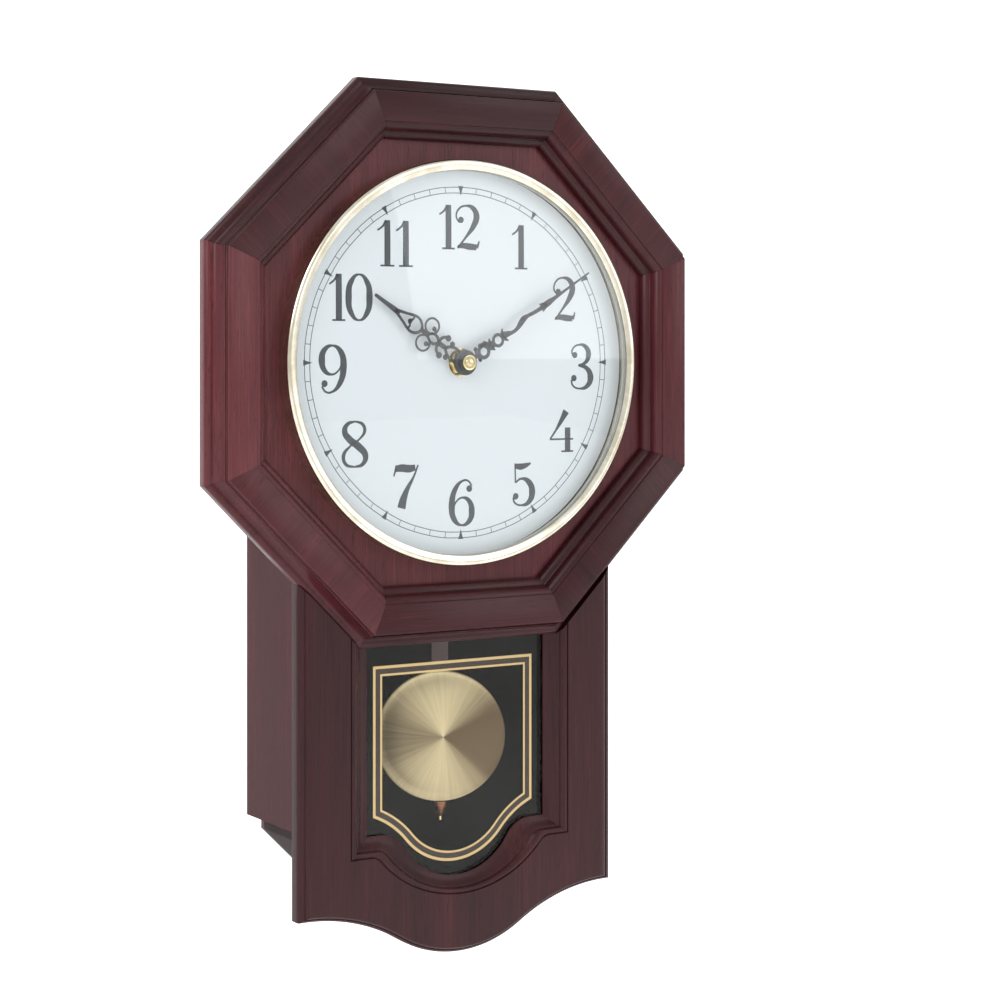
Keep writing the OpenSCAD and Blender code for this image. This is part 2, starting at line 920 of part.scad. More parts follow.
module bob_face() {
    rim = 0.8;
    rise = bob_t - rim - 0.6;
    ball = (bob_r * bob_r + rise * rise) / (2 * rise);
    color(GOLD)
        hung()
        translate([0, -bob_drop, 0])
        difference() {
            union() {
                bar([0, 0], bob_r, bob_z + 0.6, bob_z + 0.6 + rim);
                intersection() {
                    translate([0, 0, bob_z + bob_t - ball]) sphere(r = ball, $fn = 128);
                    bar([0, 0], bob_r, bob_z + 1.4 - eps, bob_z + bob_t + 1);
                }
            }
            intersection() {
                translate([0, 0, bob_z + bob_t - ball - 0.6]) sphere(r = ball, $fn = 128);
                bar([0, 0], bob_r - 0.6, bob_z, bob_z + bob_t + 1);
            }
            bar([0, 0], bob_r - 4, bob_z, bob_z + 1.6);
        }
}

module bob_back() {
    color(BRASS)
        hung()
        bar([0, -bob_drop], bob_r, bob_z, bob_z + 0.6);
}

// Channel behind the bob that slides on the rod
module bob_clip() {
    x = rod_w / 2 + 0.15;
    rear = -rod_t / 2 - 0.15;
    color(BRASS)
        hung()
        difference() {
            block([-x - 0.8, -206, rear - 0.8], [x + 0.8, -196, bob_z]);
            block([-x, -207, rear], [x, -195, bob_z + 1]);
        }
}

module rating_screw() {
    color(STEEL)
        hung()
        translate([0, screw_low, 0])
        rotate([-90, 0, 0])
        cylinder(r = screw_r, h = rod_end - screw_low);
}

module rating_nut() {
    color([0.72, 0.48, 0.34])
        hung()
        translate([0, -bob_drop - bob_r - 0.3, 0])
        rotate([90, 0, 0])
        difference() {
            union() {
                cylinder(r = 3.8, h = 3.4);
                translate([0, 0, 3.4 - eps]) cylinder(r1 = 3.8, r2 = 1.6, h = 5.2);
            }
            translate([0, 0, -1]) cylinder(r = screw_r + run_gap, h = 12);
        }
}

on_wall() {
    for (i = [0:7])
        rail(i);
    dial_panel();
    drop_frame();
    left_side();
    right_side();
    case_top();
    case_bottom();
    back_board();
    corner_blocks();
    back_screws();
    window_glass();
    glass_clips();
    clip_screws();
    bezel();
    bezel_screws();
    dial_glass();
    glass_seal();
    dial_plate();
    hanger_plate();
    hanger_screws();
    movement_case();
    movement_cover();
    threaded_bush();
    rubber_washer();
    bush_washer();
    bush_nut();
    drive_module();
    speaker();
    circuit_board();
    pendulum_coil();
    intermediate_post();
    intermediate_wheel();
    hour_wheel();
    minute_arbor();
    setting_knob();
    batteries();
    battery_contacts();
    chime_switch();
    volume_switch();
    hour_hand();
    minute_hand();
    cap_nut();
    pendulum_bracket();
    pivot_pin();
    pendulum_hanger();
    drive_magnet();
    pendulum_rod();
    bob_face();
    bob_back();
    bob_clip();
    rating_screw();
    rating_nut();
}
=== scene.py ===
# %% [markdown]
# A wall clock for a school or an office. It has an eight-sided moulded frame around a round
# glazed dial, and a drop case below it with a pendulum behind a small window.
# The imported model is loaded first. It is the frame that every other piece is fitted to, so
# nothing here is placed by eye: the model's own boxes give the places.

# %% Load the model
import bpy
import math
from mathutils import Matrix, Vector


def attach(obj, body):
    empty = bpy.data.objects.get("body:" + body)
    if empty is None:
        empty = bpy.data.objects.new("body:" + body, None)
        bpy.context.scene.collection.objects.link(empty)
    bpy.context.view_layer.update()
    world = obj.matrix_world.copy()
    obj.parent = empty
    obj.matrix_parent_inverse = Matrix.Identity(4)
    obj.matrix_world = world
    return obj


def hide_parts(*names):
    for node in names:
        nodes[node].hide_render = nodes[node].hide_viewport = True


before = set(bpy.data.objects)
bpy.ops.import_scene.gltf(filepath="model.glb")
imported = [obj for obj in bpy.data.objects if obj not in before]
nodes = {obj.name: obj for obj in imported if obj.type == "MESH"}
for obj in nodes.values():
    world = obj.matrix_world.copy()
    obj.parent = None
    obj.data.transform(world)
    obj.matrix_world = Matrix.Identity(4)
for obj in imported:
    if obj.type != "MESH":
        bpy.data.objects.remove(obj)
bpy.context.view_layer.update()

# %% [markdown]
# The clock is drawn as its maker lays it out, on its back on the bench: X to the right, Y up
# the dial and Z out of the wall, in millimetres from the middle of the dial. One helper then
# hangs a finished piece on the wall. That keeps each number the same as on a drawing of the
# front, and it leaves the object at the origin with its place in its mesh.

# %% Bench to wall
MM = 0.001
RISE = 70.0          # the hanger is this far above the middle of the dial
HOOK = 38.0          # distance of the pendulum's hook from the wall
PIVOT = 2.0          # the pendulum hangs this far right of the middle
TWIST = math.radians(-24)
WALL = Matrix.Translation((0, 0, -RISE * MM)) @ Matrix.Rotation(math.pi / 2, 4, "X")
SWUNG = Matrix.Translation((PIVOT * MM, 0, HOOK * MM)) @ Matrix.Rotation(TWIST, 4, "Y")


def only(*objects):
    """Select these objects and nothing else."""
    if bpy.context.object and bpy.context.object.mode != "OBJECT":
        bpy.ops.object.mode_set(mode="OBJECT")
    bpy.ops.object.select_all(action="DESELECT")
    for o in objects:
        o.select_set(True)
    bpy.context.view_layer.objects.active = objects[0]


def new_object(name, data):
    """An object with this data, in the scene."""
    obj = bpy.data.objects.new(name, data)
    bpy.context.scene.collection.objects.link(obj)
    return obj


def apply_place(obj, matrix):
    """Move or turn an object by a matrix and work the move into its mesh."""
    obj.matrix_world = matrix @ obj.matrix_world
    only(obj)
    bpy.ops.object.transform_apply(location=True, rotation=True, scale=True)


def hang(obj, hook=False):
    """From the bench to the wall; a piece of the pendulum also gets the twist it hangs with."""
    apply_place(obj, WALL @ SWUNG if hook else WALL)


print("the twist of the pendulum is", round(math.degrees(TWIST)), "degrees")

# %% [markdown]
# The camera comes before the looks. It stands to the left of the clock at the height of the
# dial, looks level, and uses a long lens. The lens is shifted down instead of tilted, which
# keeps the upright edges upright.

# %% Camera
camera_data = bpy.data.cameras.new("camera")
camera_data.lens = 80.39           # millimetres, a long lens on a sensor 36 mm wide
camera_data.sensor_width = 36
camera_data.shift_x = 0.0193       # shares of the width of the view
camera_data.shift_y = -0.1443
camera = new_object("camera", camera_data)
camera.location = (-0.6589, -1.1544, 0.0039 - RISE * MM)
camera.rotation_euler = (math.pi / 2, 0, math.radians(-31.67))
bpy.context.scene.camera = camera
print("camera at", tuple(round(v, 3) for v in camera.location))

# %% [markdown]
# The light is that of a white studio: a bright room all round, one large soft light from the
# upper left and a weaker one from the right. A floor that bends up into a backdrop is one
# sheet of paper in a real studio, so it is one bent sheet here.

# %% Studio
world = bpy.data.worlds.new("studio")
bpy.context.scene.world = world
world.use_nodes = True
room = world.node_tree.nodes["Background"]
room.inputs["Color"].default_value = (1.0, 1.0, 1.0, 1)
room.inputs["Strength"].default_value = 0.8
bpy.context.scene.view_settings.view_transform = "Standard"
CLOCK_MIDDLE = (0, 0, -0.15)       # metres; both lamps look here


def softbox(name, place, size, power):
    """A square area light, its side in metres and its power in watts."""
    light = bpy.data.lights.new(name, "AREA")
    light.shape = "SQUARE"
    light.size = size
    light.energy = power
    lamp = new_object(name, light)
    lamp.location = place
    aim = Vector(CLOCK_MIDDLE) - Vector(place)
    lamp.rotation_euler = aim.to_track_quat("-Z", "Y").to_euler()


softbox("key_light", (-1.9, -1.3, 1.2), 1.2, 22)
softbox("fill_light", (1.6, -2.0, 0.7), 1.6, 12)

SHEET = 8.0                        # metres, the side of the paper before it is bent
bpy.ops.object.select_all(action="DESELECT")
bpy.ops.mesh.primitive_plane_add(size=SHEET, location=(0, -1.6, -0.75))
sweep = bpy.context.object
sweep.name = "studio_sweep"
bpy.ops.object.mode_set(mode="EDIT")
bpy.ops.mesh.select_mode(type="EDGE")
bpy.ops.mesh.select_all(action="DESELECT")
bpy.ops.object.mode_set(mode="OBJECT")
for edge in sweep.data.edges:
    ends = [sweep.data.vertices[i].co.y for i in edge.vertices]
    edge.select = min(ends) > SHEET / 2 - 0.1
bpy.ops.object.mode_set(mode="EDIT")
bpy.ops.mesh.extrude_region_move(TRANSFORM_OT_translate={"value": (0, 0, 5)})
bpy.ops.object.mode_set(mode="OBJECT")
bend = sweep.modifiers.new("bend", "BEVEL")
bend.width = 0.9
bend.segments = 12
bend.limit_method = "ANGLE"
bpy.ops.object.modifier_apply(modifier="bend")
bpy.ops.object.shade_smooth()
print("studio sheet:", len(sweep.data.polygons), "faces")

# %% [markdown]
# Materials are sums of simple patterns, so their maths is best read as sums. A small class
# wraps a socket and gives it +, -, * and **. Another holds the material and adds any node in
# one call. Both are used for every finish below. The first finish is the paper of the studio,
# which glows a little, so that it stays an even white away from the lamps.

# %% Shader maths
class Field:
    """A value that changes over the surface."""

    def __init__(self, finish, socket):
        self.finish = finish
        self.socket = socket

    def math(self, operation, other=None, swap=False, clamp=False):
        pair = [self] if other is None else ([other, self] if swap else [self, other])
        return self.finish.add("ShaderNodeMath", {"operation": operation, "use_clamp": clamp},
                               dict(enumerate(pair)))

    def __add__(self, other): return self.math("ADD", other)
    def __radd__(self, other): return self.math("ADD", other)
    def __sub__(self, other): return self.math("SUBTRACT", other)
    def __rsub__(self, other): return self.math("SUBTRACT", other, True)
    def __mul__(self, other): return self.math("MULTIPLY", other)
    def __rmul__(self, other): return self.math("MULTIPLY", other)
    def __pow__(self, other): return self.math("POWER", other)

    def clamp(self):
        """Kept within 0 and 1."""
        return self.math("ADD", 0.0, clamp=True)

    def between(self, low, high):
        """0 below low, 1 above high, smooth in between."""
        return self.finish.add("ShaderNodeMapRange", {"interpolation_type": "SMOOTHSTEP"},
                               {"Value": self, "From Min": low, "From Max": high})


class Finish:
    """A material with one Principled shader, built node by node."""

    def __init__(self, name, base, roughness=0.5, metallic=0.0, **constants):
        self.material = bpy.data.materials.new(name)
        self.material.use_nodes = True
        self.tree = self.material.node_tree
        self.shader = self.tree.nodes["Principled BSDF"]
        self.material.diffuse_color = (*base, 1)
        self.set("Base Color", (*base, 1))
        self.set("Roughness", roughness)
        self.set("Metallic", metallic)
        for socket, value in constants.items():
            self.set(socket.replace("_", " "), value)

    def set(self, socket, value):
        if isinstance(value, Field):
            self.tree.links.new(value.socket, self.shader.inputs[socket])
        else:
            self.shader.inputs[socket].default_value = value

    def add(self, kind, settings, values, output=0):
        """A node: its settings first, then the values or links of its sockets."""
        node = self.tree.nodes.new(kind)
        for key, value in settings.items():
            setattr(node, key, value)
        for key, value in values.items():
            if isinstance(value, Field):
                self.tree.links.new(value.socket, node.inputs[key])
            else:
                node.inputs[key].default_value = value
        return Field(self, node.outputs[output])

    def place(self, scale=(1, 1, 1), turn=(0, 0, 0), shift=(0, 0, 0)):
        """Object coordinates, shifted, turned and stretched."""
        spot = self.add("ShaderNodeTexCoord", {}, {}, "Object")
        moved = self.add("ShaderNodeMapping", {"vector_type": "POINT"},
                         {"Vector": spot, "Location": shift})
        turned = self.add("ShaderNodeMapping", {"vector_type": "POINT"},
                          {"Vector": moved, "Rotation": turn})
        return self.add("ShaderNodeMapping", {"vector_type": "POINT"},
                        {"Vector": turned, "Scale": scale})

    def axes(self, where):
        """The three coordinates of a place, each as a value."""
        node = self.add("ShaderNodeSeparateXYZ", {}, {0: where}).socket.node
        return [Field(self, output) for output in node.outputs]

    def noise(self, where, scale, detail, rough):
        return self.add("ShaderNodeTexNoise", {}, {"Vector": where, "Scale": scale,
                                                   "Detail": detail, "Roughness": rough})

    def mix(self, amount, first, second):
        """Colours go through a Mix node, because a Math node would turn them grey."""
        return self.add("ShaderNodeMix", {"data_type": "RGBA"},
                        {0: amount, 6: first, 7: second}, 2)

    def bump(self, height, strength, distance):
        self.set("Normal", self.add("ShaderNodeBump", {}, {"Height": height,
                 "Strength": strength, "Distance": distance}, "Normal"))


def rgba(red, green, blue):
    """A colour as seen on a screen, 0 to 255, turned to the linear light the shader uses."""
    linear = [(c / 255 / 12.92) if c < 10.3 else (((c / 255) + 0.055) / 1.055) ** 2.4
              for c in (red, green, blue)]
    return (*linear, 1.0)


def toned(colour, share):
    """A colour made darker or lighter."""
    return (*[c * share for c in colour[:3]], 1.0)


paper = Finish("studio_paper", (0.93, 0.93, 0.93), 0.9, Specular_IOR_Level=0.1)
paper.set("Emission Color", (1.0, 1.0, 1.0, 1.0))
paper.set("Emission Strength", 0.42)
fibre = paper.noise(paper.place(), 240, 2.0, 0.5)
paper.set("Base Color", paper.mix(fibre, (0.925, 0.925, 0.925, 1), (0.94, 0.94, 0.94, 1)))
sweep.data.materials.append(paper.material)
print("red-brown in linear light:", [round(c, 3) for c in rgba(70, 38, 38)])

# %% [markdown]
# The case is rubberwood under a dark cherry stain and a satin lacquer. Stain soaks into the
# grain unevenly, so the wood shows long fine streaks, a few broad darker bands and short
# pores. Each board takes the stain a little differently. On the rails the tone also carries
# painted light and shade, lighter or darker as the light falls on each rail. The streaks are
# noise that is stretched along the board. One function makes the finish for any grain
# direction, so that each mitred rail gets a grain that runs along it.

# %% Stained wood
def stained_wood(name, grain, tone, seed, sheen=0.22):
    """grain is the board's direction in the plane of the wall, in degrees from level. tone
    makes the wood darker or lighter, as the board took the stain and, on the rails, also as
    painted light and shade; seed moves the pattern, and sheen is the lacquer's."""
    dark, mid, light = [toned(rgba(*colour), tone)
                        for colour in ((40, 14, 17), (68, 28, 32), (94, 41, 44))]
    wood = Finish(name, mid[:3], 0.36, Coat_Weight=0.06, Coat_Roughness=0.24,
                  Specular_IOR_Level=sheen)
    turn = (0, math.radians(grain), 0)
    shift = (seed * 0.37, seed * 0.11, seed * 0.53)
    streaks = wood.noise(wood.place((26, 900, 900), turn, shift), 1.0, 5.0, 0.6)
    bands = wood.noise(wood.place((5, 60, 60), turn, shift), 1.0, 3.0, 0.5)
    pores = wood.noise(wood.place((110, 2600, 2600), turn, shift), 1.0, 1.0, 0.5)
    pore = pores.between(0.64, 0.74)
    depth = (streaks * 0.65 + bands * 0.55 - 0.10).clamp()
    stain = wood.mix(depth.between(0.18, 0.52), dark, mid)
    stain = wood.mix(depth.between(0.50, 0.80), stain, light)
    stain = wood.mix(pore * 0.7, stain, toned(dark, 0.35))
    wood.set("Base Color", stain)
    wood.set("Roughness", 0.28 + streaks * 0.10 + pore * 0.2)
    wood.bump(streaks * 0.6 - pore * 0.8, 0.22, 0.0004)
    return wood.material


print("one wood finish for each direction of the grain")

# %% [markdown]
# The moulding of the eight-sided frame is run in one length on a spindle moulder, and then
# cut into eight rails with mitred ends. The same is done here. The section is drawn once: a
# round shoulder, a cove and a fillet outside, a flat, and two stepped quarter rounds that
# lead down to the dial. It is extruded into a stick, and the stick is bisected at both
# mitre planes. A small bevel breaks the sharp arrises, so the joints show as fine lines.

# %% Run the moulding
OCT = 159.0          # from the middle to a flat of the frame
BACK, FRONT = 57.0, 76.5           # the frame's back and front, from the wall
PANEL = 64.0         # the front of the dial board
RAW = 80.0           # half the length of the stick before it is cut


def bow(centre, radii, start, end, steps=10):
    """Points along a stretch of an ellipse; angles in degrees."""
    angles = [math.radians(start + (end - start) * i / steps) for i in range(steps + 1)]
    return [(centre[0] + radii[0] * math.cos(a), centre[1] + radii[1] * math.sin(a))
            for a in angles]


section = [(134.0, BACK), (OCT, BACK)]
section += bow((OCT - 3.1, BACK + 5), (3.1, 3.1), 0, 90)
section += bow((OCT - 3.6, FRONT - 2.7), (3.6, 8.7), 270, 180, 14)
section += [(OCT - 7.7, FRONT - 3.2), (OCT - 8.3, FRONT - 2.7), (OCT - 8.4, FRONT - 0.7)]
section += bow((OCT - 9.2, FRONT - 0.7), (0.8, 0.7), 0, 90, 4)
section += [(134.6, FRONT), (134.1, FRONT - 0.3), (133.8, FRONT - 1.1)]
section += bow((133.4, FRONT - 5.9), (4.0, 4.8), 90, 180, 12)
section += [(129.4, FRONT - 6.6), (129.0, FRONT - 7)]
section += bow((128.8, FRONT - 10.4), (3.8, 3.4), 90, 180, 10)
section += [(125.0, PANEL), (134.0, PANEL)]


def new_mesh(name, points, faces=(), edges=()):
    """A mesh from points in millimetres on the bench."""
    mesh = bpy.data.meshes.new(name)
    mesh.from_pydata([tuple(c * MM for c in p) for p in points], list(edges), list(faces))
    obj = new_object(name, mesh)
    only(obj)
    return obj


def edit_all(obj):
    only(obj)
    bpy.ops.object.mode_set(mode="EDIT")
    bpy.ops.mesh.select_all(action="SELECT")


def outward(obj):
    """Merge doubles and turn every face outwards."""
    edit_all(obj)
    bpy.ops.mesh.remove_doubles(threshold=1e-6)
    bpy.ops.mesh.normals_make_consistent(inside=False)
    bpy.ops.object.mode_set(mode="OBJECT")


def soften(obj, width, sharp, smooth):
    """Break the edges sharper than one angle and shade the faces flatter than the other."""
    only(obj)
    arris = obj.modifiers.new("arris", "BEVEL")
    arris.width = width * MM
    arris.segments = 2
    arris.limit_method = "ANGLE"
    arris.angle_limit = math.radians(sharp)
    bpy.ops.object.modifier_apply(modifier="arris")
    bpy.ops.object.shade_smooth_by_angle(angle=math.radians(smooth))


stick = new_mesh("stick", [(r, -RAW, d) for r, d in section], [list(range(len(section)))])
edit_all(stick)
bpy.ops.mesh.extrude_region_move(TRANSFORM_OT_translate={"value": (0, 2 * RAW * MM, 0)})
mitre = math.radians(22.5)
for end in (1, -1):
    bpy.ops.mesh.select_all(action="SELECT")
    bpy.ops.mesh.bisect(plane_co=(0, 0, 0), use_fill=True, clear_outer=True,
                        plane_no=(-math.sin(mitre), end * math.cos(mitre), 0))
bpy.ops.object.mode_set(mode="OBJECT")
outward(stick)
print("the section has", len(section), "points and the rail", len(stick.data.polygons), "faces")

# %% [markdown]
# Eight copies of the rail make the frame. The three lower ones are thinned at the back for
# the tongue of the drop board. That notch is a plain step, so a boolean with one block does
# what a router would do.

# %% Assemble the frame
RAILS = ["rail_right", "rail_top_right", "rail_top", "rail_top_left",
         "rail_left", "rail_bottom_left", "rail_bottom", "rail_bottom_right"]
RAIL_STAIN_AND_LIGHT = [1.12, 0.76, 0.50, 0.66, 1.75, 1.20, 0.74, 0.58]    # partly how each rail took the stain, partly painted light: the lit left rail lightest, the top rail darkest
TONGUE = 63.0        # the front of the drop board's tongue, from the wall
LEDGE = -134.2       # the notch for the tongue ends here, below the middle of the dial


def cut(obj, tool):
    """Take the tool's shape away from the object."""
    only(obj)
    saw = obj.modifiers.new("saw", "BOOLEAN")
    saw.operation = "DIFFERENCE"
    saw.solver = "EXACT"
    saw.object = tool
    bpy.ops.object.modifier_apply(modifier="saw")
    bpy.data.objects.remove(tool)


def block(low, high):
    """A block between two corners, used as a cutting tool."""
    middle = [(a + b) / 2 * MM for a, b in zip(low, high)]
    bpy.ops.mesh.primitive_cube_add(size=1, location=middle)
    tool = bpy.context.object
    tool.scale = [(b - a) * MM for a, b in zip(low, high)]
    bpy.ops.object.transform_apply(location=True, rotation=True, scale=True)
    return tool


def dress(obj, material, body, slot_name, *replaced):
    """Hang a piece, give it its finish and body, and hide the model's nodes it stands for.
    slot_name is not used.
    """
    hang(obj, body in ("pendulum", "rating_nut"))
    obj.data.materials.clear()
    obj.data.materials.append(material)
    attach(obj, body)
    if replaced:
        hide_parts(*replaced)


for i, name in enumerate(RAILS):
    rail = new_object("wood_" + name, stick.data.copy())
    rail.data.name = rail.name
    apply_place(rail, Matrix.Rotation(math.radians(45 * i), 4, "Z"))
    if "bottom" in name:
        cut(rail, block((-103.9, -161, 50), (103.9, LEDGE, TONGUE)))
    soften(rail, 0.22, 40, 30)
    wood = stained_wood("stained_" + name, -(45 * i + 90), RAIL_STAIN_AND_LIGHT[i], i + 1)
    dress(rail, wood, "case", "frame_wood", name)
bpy.data.objects.remove(stick)
print("rails:", len(RAILS))

# %% [markdown]
# The drop board is one wide board. Its long edges carry a double bead, its foot is sawn to
# an ogee with a chamfer, and a window is cut through it with a bead and a cove around the
# glass. All of these run side by side, so the board is best seen as a set of lines that all
# go down the left, round the foot and up the right. Each line has the same number of points,
# and faces join each line to the next. The last line joins the first, so the board is closed.

# %% Drop board
TOP = -101.0         # where the board ends behind the frame
STEPS = 14
# half the width, corner and lowest point below the dial, radius of the lobe, end of the ogee
BOARD = (103.7, 306.4, 335.4, 75.0, 100.0)
WINDOW_IN = (58.7, 264.8, 292.6, 40.0, 50.0)
WINDOW_OUT = (72.0, 275.3, 302.0, 71.2, 58.7)


def right_half(half, corner, low, lobe, turn_x, top=TOP, inset=0.0):
    """Half a line: foot from its middle, round the shoulder to the corner, then up."""
    angle = 2 * math.atan((low - corner) / turn_x)
    bend = turn_x / math.sin(angle) - lobe
    deg = math.degrees(angle)
    line = bow((0, lobe - low), (lobe - inset,) * 2, -90, -90 + deg, STEPS)
    line += bow((turn_x, -corner - bend), (bend + inset,) * 2, 90 + deg, 90, STEPS)[1:]
    line = [(min(x, half), y) for x, y in line] + [(half, -corner + inset)]
    line += [(half, -corner + inset + (top + corner - inset) * i / 6) for i in range(1, 7)]
    return line


def whole(line):
    """A right half with its mirror image before it."""
    return [(-x, y) for x, y in reversed(line[1:])] + line


def between_windows(share):
    """The numbers of a line between the pane's opening and the outer edge of the cove."""
    return [a + share * (b - a) for a, b in zip(WINDOW_IN, WINDOW_OUT)]


# distance from the wall, then how far the line lies inside the board's sides and its foot
lines = [(whole(right_half(BOARD[0] - s, *BOARD[1:], inset=f)), d) for d, s, f in [
    (57.0, 0, 0), (62.0, 0, 0), (63.2, 0.25, 0), (64.2, 0.9, 0.0), (65.0, 2.0, 0.6),
    (65.4, 3.3, 1.2), (65.0, 3.6, 1.4), (65.05, 3.9, 1.5), (65.9, 4.5, 1.9), (66.6, 5.8, 2.4),
    (66.95, 7.4, 2.9), (67.0, 8.6, 3.2)]]
lines += [(whole(right_half(*between_windows(t))), d) for t, d in [
    (1.035, 67.0), (1.02, 66.7), (1.0, 66.1), (0.985, 66.1), (0.965, 66.6), (0.93, 66.9),
    (0.87, 67.0), (0.80, 66.85), (0.73, 66.3), (0.68, 65.4), (0.65, 64.6), (0.60, 64.3),
    (0.50, 63.2), (0.40, 62.2), (0.28, 61.3), (0.14, 60.7), (0.0, 60.4), (0.0, 59.4),
    (0.32, 59.4), (0.32, 57.0)]]
count = len(lines[0][0])
points = [(x, y, d) for line, d in lines for x, y in line]
quads = []
for k in range(len(lines)):
    a, b = k * count, ((k + 1) % len(lines)) * count
    quads += [(a + i, a + i + 1, b + i + 1, b + i) for i in range(count - 1)]
ends = [[k * count + j for k in range(len(lines))] for j in (0, count - 1)]
drop = new_mesh("wood_drop_board", points, quads + ends)
outward(drop)
print("drop board:", len(lines), "lines of", count, "points")

# %% [markdown]
# The board goes on behind the frame as a thin tongue. The frame's own outline, an
# eight-sided prism, is what the joiner marks on the board, so it is also the cutting tool.

# %% Tongue behind the frame
def octagon_tool(low, high=90.0):
    """A prism as wide as the frame, from low to well in front of the board."""
    bpy.ops.mesh.primitive_cylinder_add(
        vertices=8, radius=OCT / math.cos(mitre) * MM, depth=(high - low) * MM,
        location=(0, 0, (low + high) / 2 * MM), rotation=(0, 0, mitre))
    tool = bpy.context.object
    bpy.ops.object.transform_apply(location=True, rotation=True, scale=True)
    return tool


cut(drop, octagon_tool(TONGUE))
shoulder_tool = octagon_tool(50.0)
edit_all(shoulder_tool)
bpy.ops.mesh.bisect(plane_co=(0, LEDGE * MM, 0), plane_no=(0, -1, 0), use_fill=True,
                    clear_outer=True)
bpy.ops.object.mode_set(mode="OBJECT")
cut(drop, shoulder_tool)
outward(drop)
only(drop)
bpy.ops.object.shade_smooth_by_angle(angle=math.radians(28))
dress(drop, stained_wood("stained_drop_board", 90, 0.58, 11), "case", "frame_wood",
      "drop_frame")
print("drop board faces:", len(drop.data.polygons))

# %% [markdown]
# The boards that the model already shows at their true shape stay as they are, and only get
# their finish: the box's sides and top, the dial board, the glue blocks and the back. The
# back and the folded bottom are thin hardboard, which is made of pressed fibres. It has no
# grain, only a fine mottle. Where it faces the pendulum it carries painted shade: it is
# coloured black for the shade inside the case.

# %% Boards of the box
def finish(material, *names):
    """Nodes of the model keep their shape and get a finish."""
    for name in names:
        nodes[name].data.materials.clear()
        nodes[name].data.materials.append(material)


finish(stained_wood("stained_side", 90, 0.85, 21, 0.06), "left_side", "right_side")
finish(stained_wood("stained_top", 0, 0.8, 22), "case_top")
finish(stained_wood("stained_panel", 90, 1.45, 23), "dial_panel")
finish(stained_wood("stained_blocks", 90, 0.7, 24), "corner_blocks")


def hardboard(name, pale, inside):
    """Pressed fibre board with painted shade: black where inside(x, y, z) says it faces the
    pendulum, in the shade inside the case.
    """
    board = Finish(name, pale[:3], 0.7, Specular_IOR_Level=0.08)
    mottle = board.noise(board.place(), 700, 4.0, 0.7)
    cloud = board.noise(board.place(), 24, 2.0, 0.5)
    plain = board.mix((mottle * 0.6 + cloud * 0.4).between(0.3, 0.7), toned(pale, 0.55), pale)
    # painted shade: the inside of the case is coloured near black where it lies in shade
    shade_paint = inside(*board.axes(board.place()))
    board.set("Base Color", board.mix(shade_paint, plain, rgba(15, 14, 16)))
    board.set("Roughness", 0.78 + cloud * 0.1)
    return board.material


def above(value, limit):
    """1 where a value is above the limit and 0 elsewhere."""
    return value.math("GREATER_THAN", limit)


def front_of_back(x, y, z):
    """Painted shade on the back board's front, which is 4 mm from the wall; in metres."""
    return above(y * -1, 0.0039)


def inside_bottom(x, y, z):
    """Painted shade inside the bottom, in metres: above the two slopes, above the floor between
    them and off the sides.
    """
    across = x.math("ABSOLUTE")
    return above(across * -1 + z, -0.427) * above(z, -0.3775) * above(across * -1, -0.0923)


finish(hardboard("hardboard_back", rgba(112, 100, 102), front_of_back), "back_board")
finish(hardboard("hardboard_bottom", rgba(72, 64, 66), inside_bottom), "case_bottom")
print("boards finished")

# %% [markdown]
# Metal finishes. Each one is a flat colour only at first sight: plated brass has faint
# swirls from the polishing wheel, zinc plate has a mottled grey bloom, and blackened steel
# has a fine tooth. These go into the roughness and the tint, which is where real metal shows
# its handling.

# %% Metals
def polished(name, colour, worn, rough, scale, bump=0.03):
    """Bright metal with faint swirls, finer for a larger scale."""
    metal = Finish(name, rgba(*colour)[:3], rough, 1.0)
    swirl = metal.noise(metal.place(), scale, 4.0, 0.6)
    metal.set("Base Color", metal.mix(swirl.between(0.3, 0.75), rgba(*colour), rgba(*worn)))
    metal.set("Roughness", swirl * 0.12 + rough)
    metal.bump(swirl, bump, 0.0002)
    return metal.material


gold = polished("plated_gold", (238, 233, 217), (206, 197, 174), 0.13, 60, 0.02)
brass = polished("polished_brass", (242, 224, 178), (222, 200, 146), 0.16, 300)
steel = polished("zinc_steel", (198, 200, 204), (160, 163, 168), 0.30, 500)
copper = polished("copper", (190, 128, 96), (150, 96, 70), 0.30, 900)
bronze = polished("bronzed_nut", (196, 140, 108), (150, 104, 82), 0.34, 700)

def coated(name, middle, first, second, fleck, rough, spread=0.0, metallic=0.0, **more):
    """A thin coat between two near tints. fleck is the scale, detail and roughness of its
    noise, and a spread makes the shine vary too."""
    coat = Finish(name, rgba(*middle)[:3], rough, metallic, **more)
    flecks = coat.noise(coat.place(), *fleck)
    coat.set("Base Color", coat.mix(flecks, rgba(*first), rgba(*second)))
    if spread:
        coat.set("Roughness", rough + flecks * spread)
    return coat.material


blacking = coated("blackened_steel", (44, 48, 52), (34, 37, 40), (58, 62, 67),
                  (1600, 2.0, 0.6), 0.32, 0.2, Specular_IOR_Level=0.6)
print("metals ready")

# %% [markdown]
# A turned part is a section spun about an axis. The bezel is a spun brass ring: a short wall
# stands on the dial board, rolls over into a rounded face and ends in a lip that holds the
# glass. The section is drawn in the plane of X and Z and spun about Z.

# %% Bezel
def turned(name, profile, steps=128, closed=True):
    """Spin a section (radius, height) about the Z axis; a closed one makes a ring."""
    n = len(profile)
    edges = [(i, i + 1) for i in range(n - 1)] + ([(n - 1, 0)] if closed else [])
    obj = new_mesh(name, [(r, 0, z) for r, z in profile], edges=edges)
    edit_all(obj)
    bpy.ops.mesh.spin(steps=steps, angle=2 * math.pi, center=(0, 0, 0), axis=(0, 0, 1))
    bpy.ops.object.mode_set(mode="OBJECT")
    outward(obj)
    bpy.ops.object.shade_smooth_by_angle(angle=math.radians(40))
    return obj


